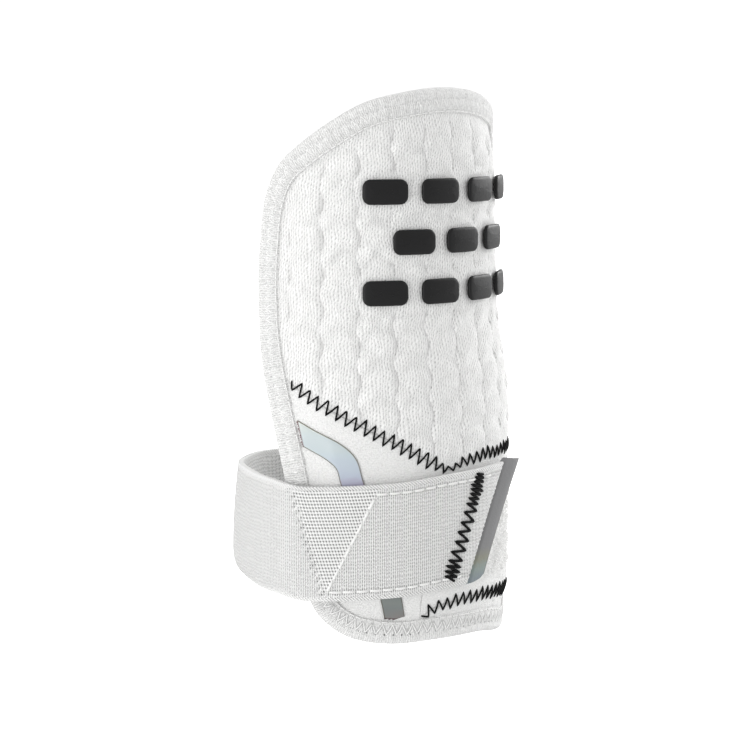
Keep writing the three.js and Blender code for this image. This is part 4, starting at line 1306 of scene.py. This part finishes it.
topRow = np.stack([np.linspace(*thread["topRun"], 80), np.full(80, strap["topRow"])], axis=1)
lowRow = np.stack([np.linspace(*thread["lowRun"], 80), np.full(80, strap["lowRow"])], axis=1)
slantRow = np.linspace(*(np.array(strap["patchLine"]) + thread["slantTrim"]), 60)
topstitch = dashes(topRow, onStrap) + dashes(lowRow, onStrap) + dashes(slantRow, onStrap)
anchor = np.array(thread["anchor"]) - (frontZero, 0)
for start, stop in zip(anchor[:-1], anchor[1:]):
    topstitch += dashes(np.linspace(start, stop, 40), onStrapBack)   # where the strap is sewn to the lining
threadPiece("strap_topstitch", topstitch, thread["dashRadius"], whiteThread, "elastic_white")
print("threads made")

# Lifted loops of the pile where the strap is pressed on and pulled off
pile = {
    "count": 1100,
    "arcs": (7.0, 36.0),
    "heights": (-14.0, 14.0),
    "size": (0.4, 0.95),
    "reach": (0.5, 1.4),    # shares of the size: a loop's half width, its lean and its height
    "lean": (-0.5, 0.5),
    "high": 1.1,
    "root": 0.1,            # depth of its ends in the cloth
    "clear": 1.5,           # distance kept from the strap's end
    "radius": 0.06 * mm,
}


def bendArc(along):
    # a run along the strap's front as an arc of the guard's pattern
    return along * guard["bendRadius"] / strap["frontRadius"]


def pileLoops():
    draw = np.random.default_rng(31)
    count = pile["count"]
    arc = draw.uniform(*pile["arcs"], (count, 1))
    height = draw.uniform(*pile["heights"], (count, 1))
    turn = draw.uniform(0, 2 * math.pi, (count, 1))
    size = draw.uniform(*pile["size"], (count, 1))
    t = np.linspace(0, 1, 8)
    reach = size * np.sin(np.pi * (t - 0.5)) * draw.uniform(*pile["reach"], (count, 1))
    lean = size * np.sin(np.pi * t) * draw.uniform(*pile["lean"], (count, 1))
    lift = pile["high"] * size * np.sin(np.pi * t) - pile["root"]
    strands = onCover(arc + reach * np.cos(turn) - lean, height + reach * np.sin(turn) + lean, lift)
    strapFoot = pile["heights"][0]
    clear = arc[:, 0] > bendArc(strapEnd(height[:, 0] - strapFoot)) + pile["clear"]
    threadPiece("loop_pile", strands[clear], pile["radius"], pileYarn, "loop_white")


pileLoops()
print("pile made")

# Studio
studio = {
    "aim": Vector((0.0, -0.02, 0.04)),
    "floorSize": 12,
    "floorDrop": 0.045,
    "key": ((-0.95, 0.45, 0.55), 0.5, 2.6),      # place, size and watts
    "front": ((-1.0, -0.25, -0.02), 0.5, 5.4),
    "rim": ((0.9, -0.15, 0.4), 0.5, 7.2),
    "ambient": 0.73,
    "backdrop": 1.05,     # strength that the camera sees
}


def softLight(name, spot, size, watts):
    clearSelection()
    bpy.ops.object.light_add(type="AREA", location=spot)
    lamp = bpy.context.object
    lamp.name = name
    lamp.data.size = size
    lamp.data.energy = watts
    lamp.rotation_euler = (studio["aim"] - Vector(spot)).to_track_quat("-Z", "Y").to_euler()


for name in ("key", "front", "rim"):
    softLight(name + "_light", *studio[name])

# white paper sweep that the camera sees burnt out, as in a product picture
clearSelection()
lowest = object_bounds()[0].z
bpy.ops.mesh.primitive_plane_add(size=studio["floorSize"], location=(0, 0, lowest - studio["floorDrop"]))
floor = bpy.context.object
floor.name = "studio_floor"
paper, tree, shader = newMaterial("white_paper", "#ececec", Roughness=0.9)
shader.inputs["Emission Color"].default_value = (1, 1, 1, 1)
tree.links.new(addNode(tree, "LightPath").outputs["Is Camera Ray"], shader.inputs["Emission Strength"])
floor.data.materials.append(paper)

world = bpy.data.worlds.new("studio")
bpy.context.scene.world = world
world.use_nodes = True
backdrop = world.node_tree.nodes["Background"]
backdrop.inputs["Color"].default_value = (1, 1, 1, 1)
seen = addNode(world.node_tree, "LightPath").outputs["Is Camera Ray"]
brightness = {0: seen, 1: studio["backdrop"] - studio["ambient"], 2: studio["ambient"]}
brightness = addNode(world.node_tree, "Math", brightness, operation="MULTIPLY_ADD")
world.node_tree.links.new(brightness.outputs[0], backdrop.inputs["Strength"])

# Camera at the photograph's angle
view = {
    "azimuth": -48.0,
    "pitch": 7.36,
    "distance": 0.589,
    "height": 0.1139,
    "aside": 0.0101,
    "focalPixels": 2130,
    "framePixels": 750,
}
turn = math.radians(view["azimuth"])
right = Vector((math.cos(turn), math.sin(turn), 0))
back = Vector((math.sin(turn), -math.cos(turn), 0))
clearSelection()
spot = right * view["aside"] + back * view["distance"] + Vector((0, 0, view["height"]))
bpy.ops.object.camera_add(location=spot)
camera = bpy.context.object
camera.rotation_euler = (math.radians(90 - view["pitch"]), 0, turn)
camera.data.sensor_width = 36
camera.data.lens = 36 * view["focalPixels"] / view["framePixels"]
camera.data.clip_start, camera.data.clip_end = 0.01, 30
bpy.context.scene.camera = camera
bpy.context.scene.view_settings.view_transform = "Standard"
print("studio ready")
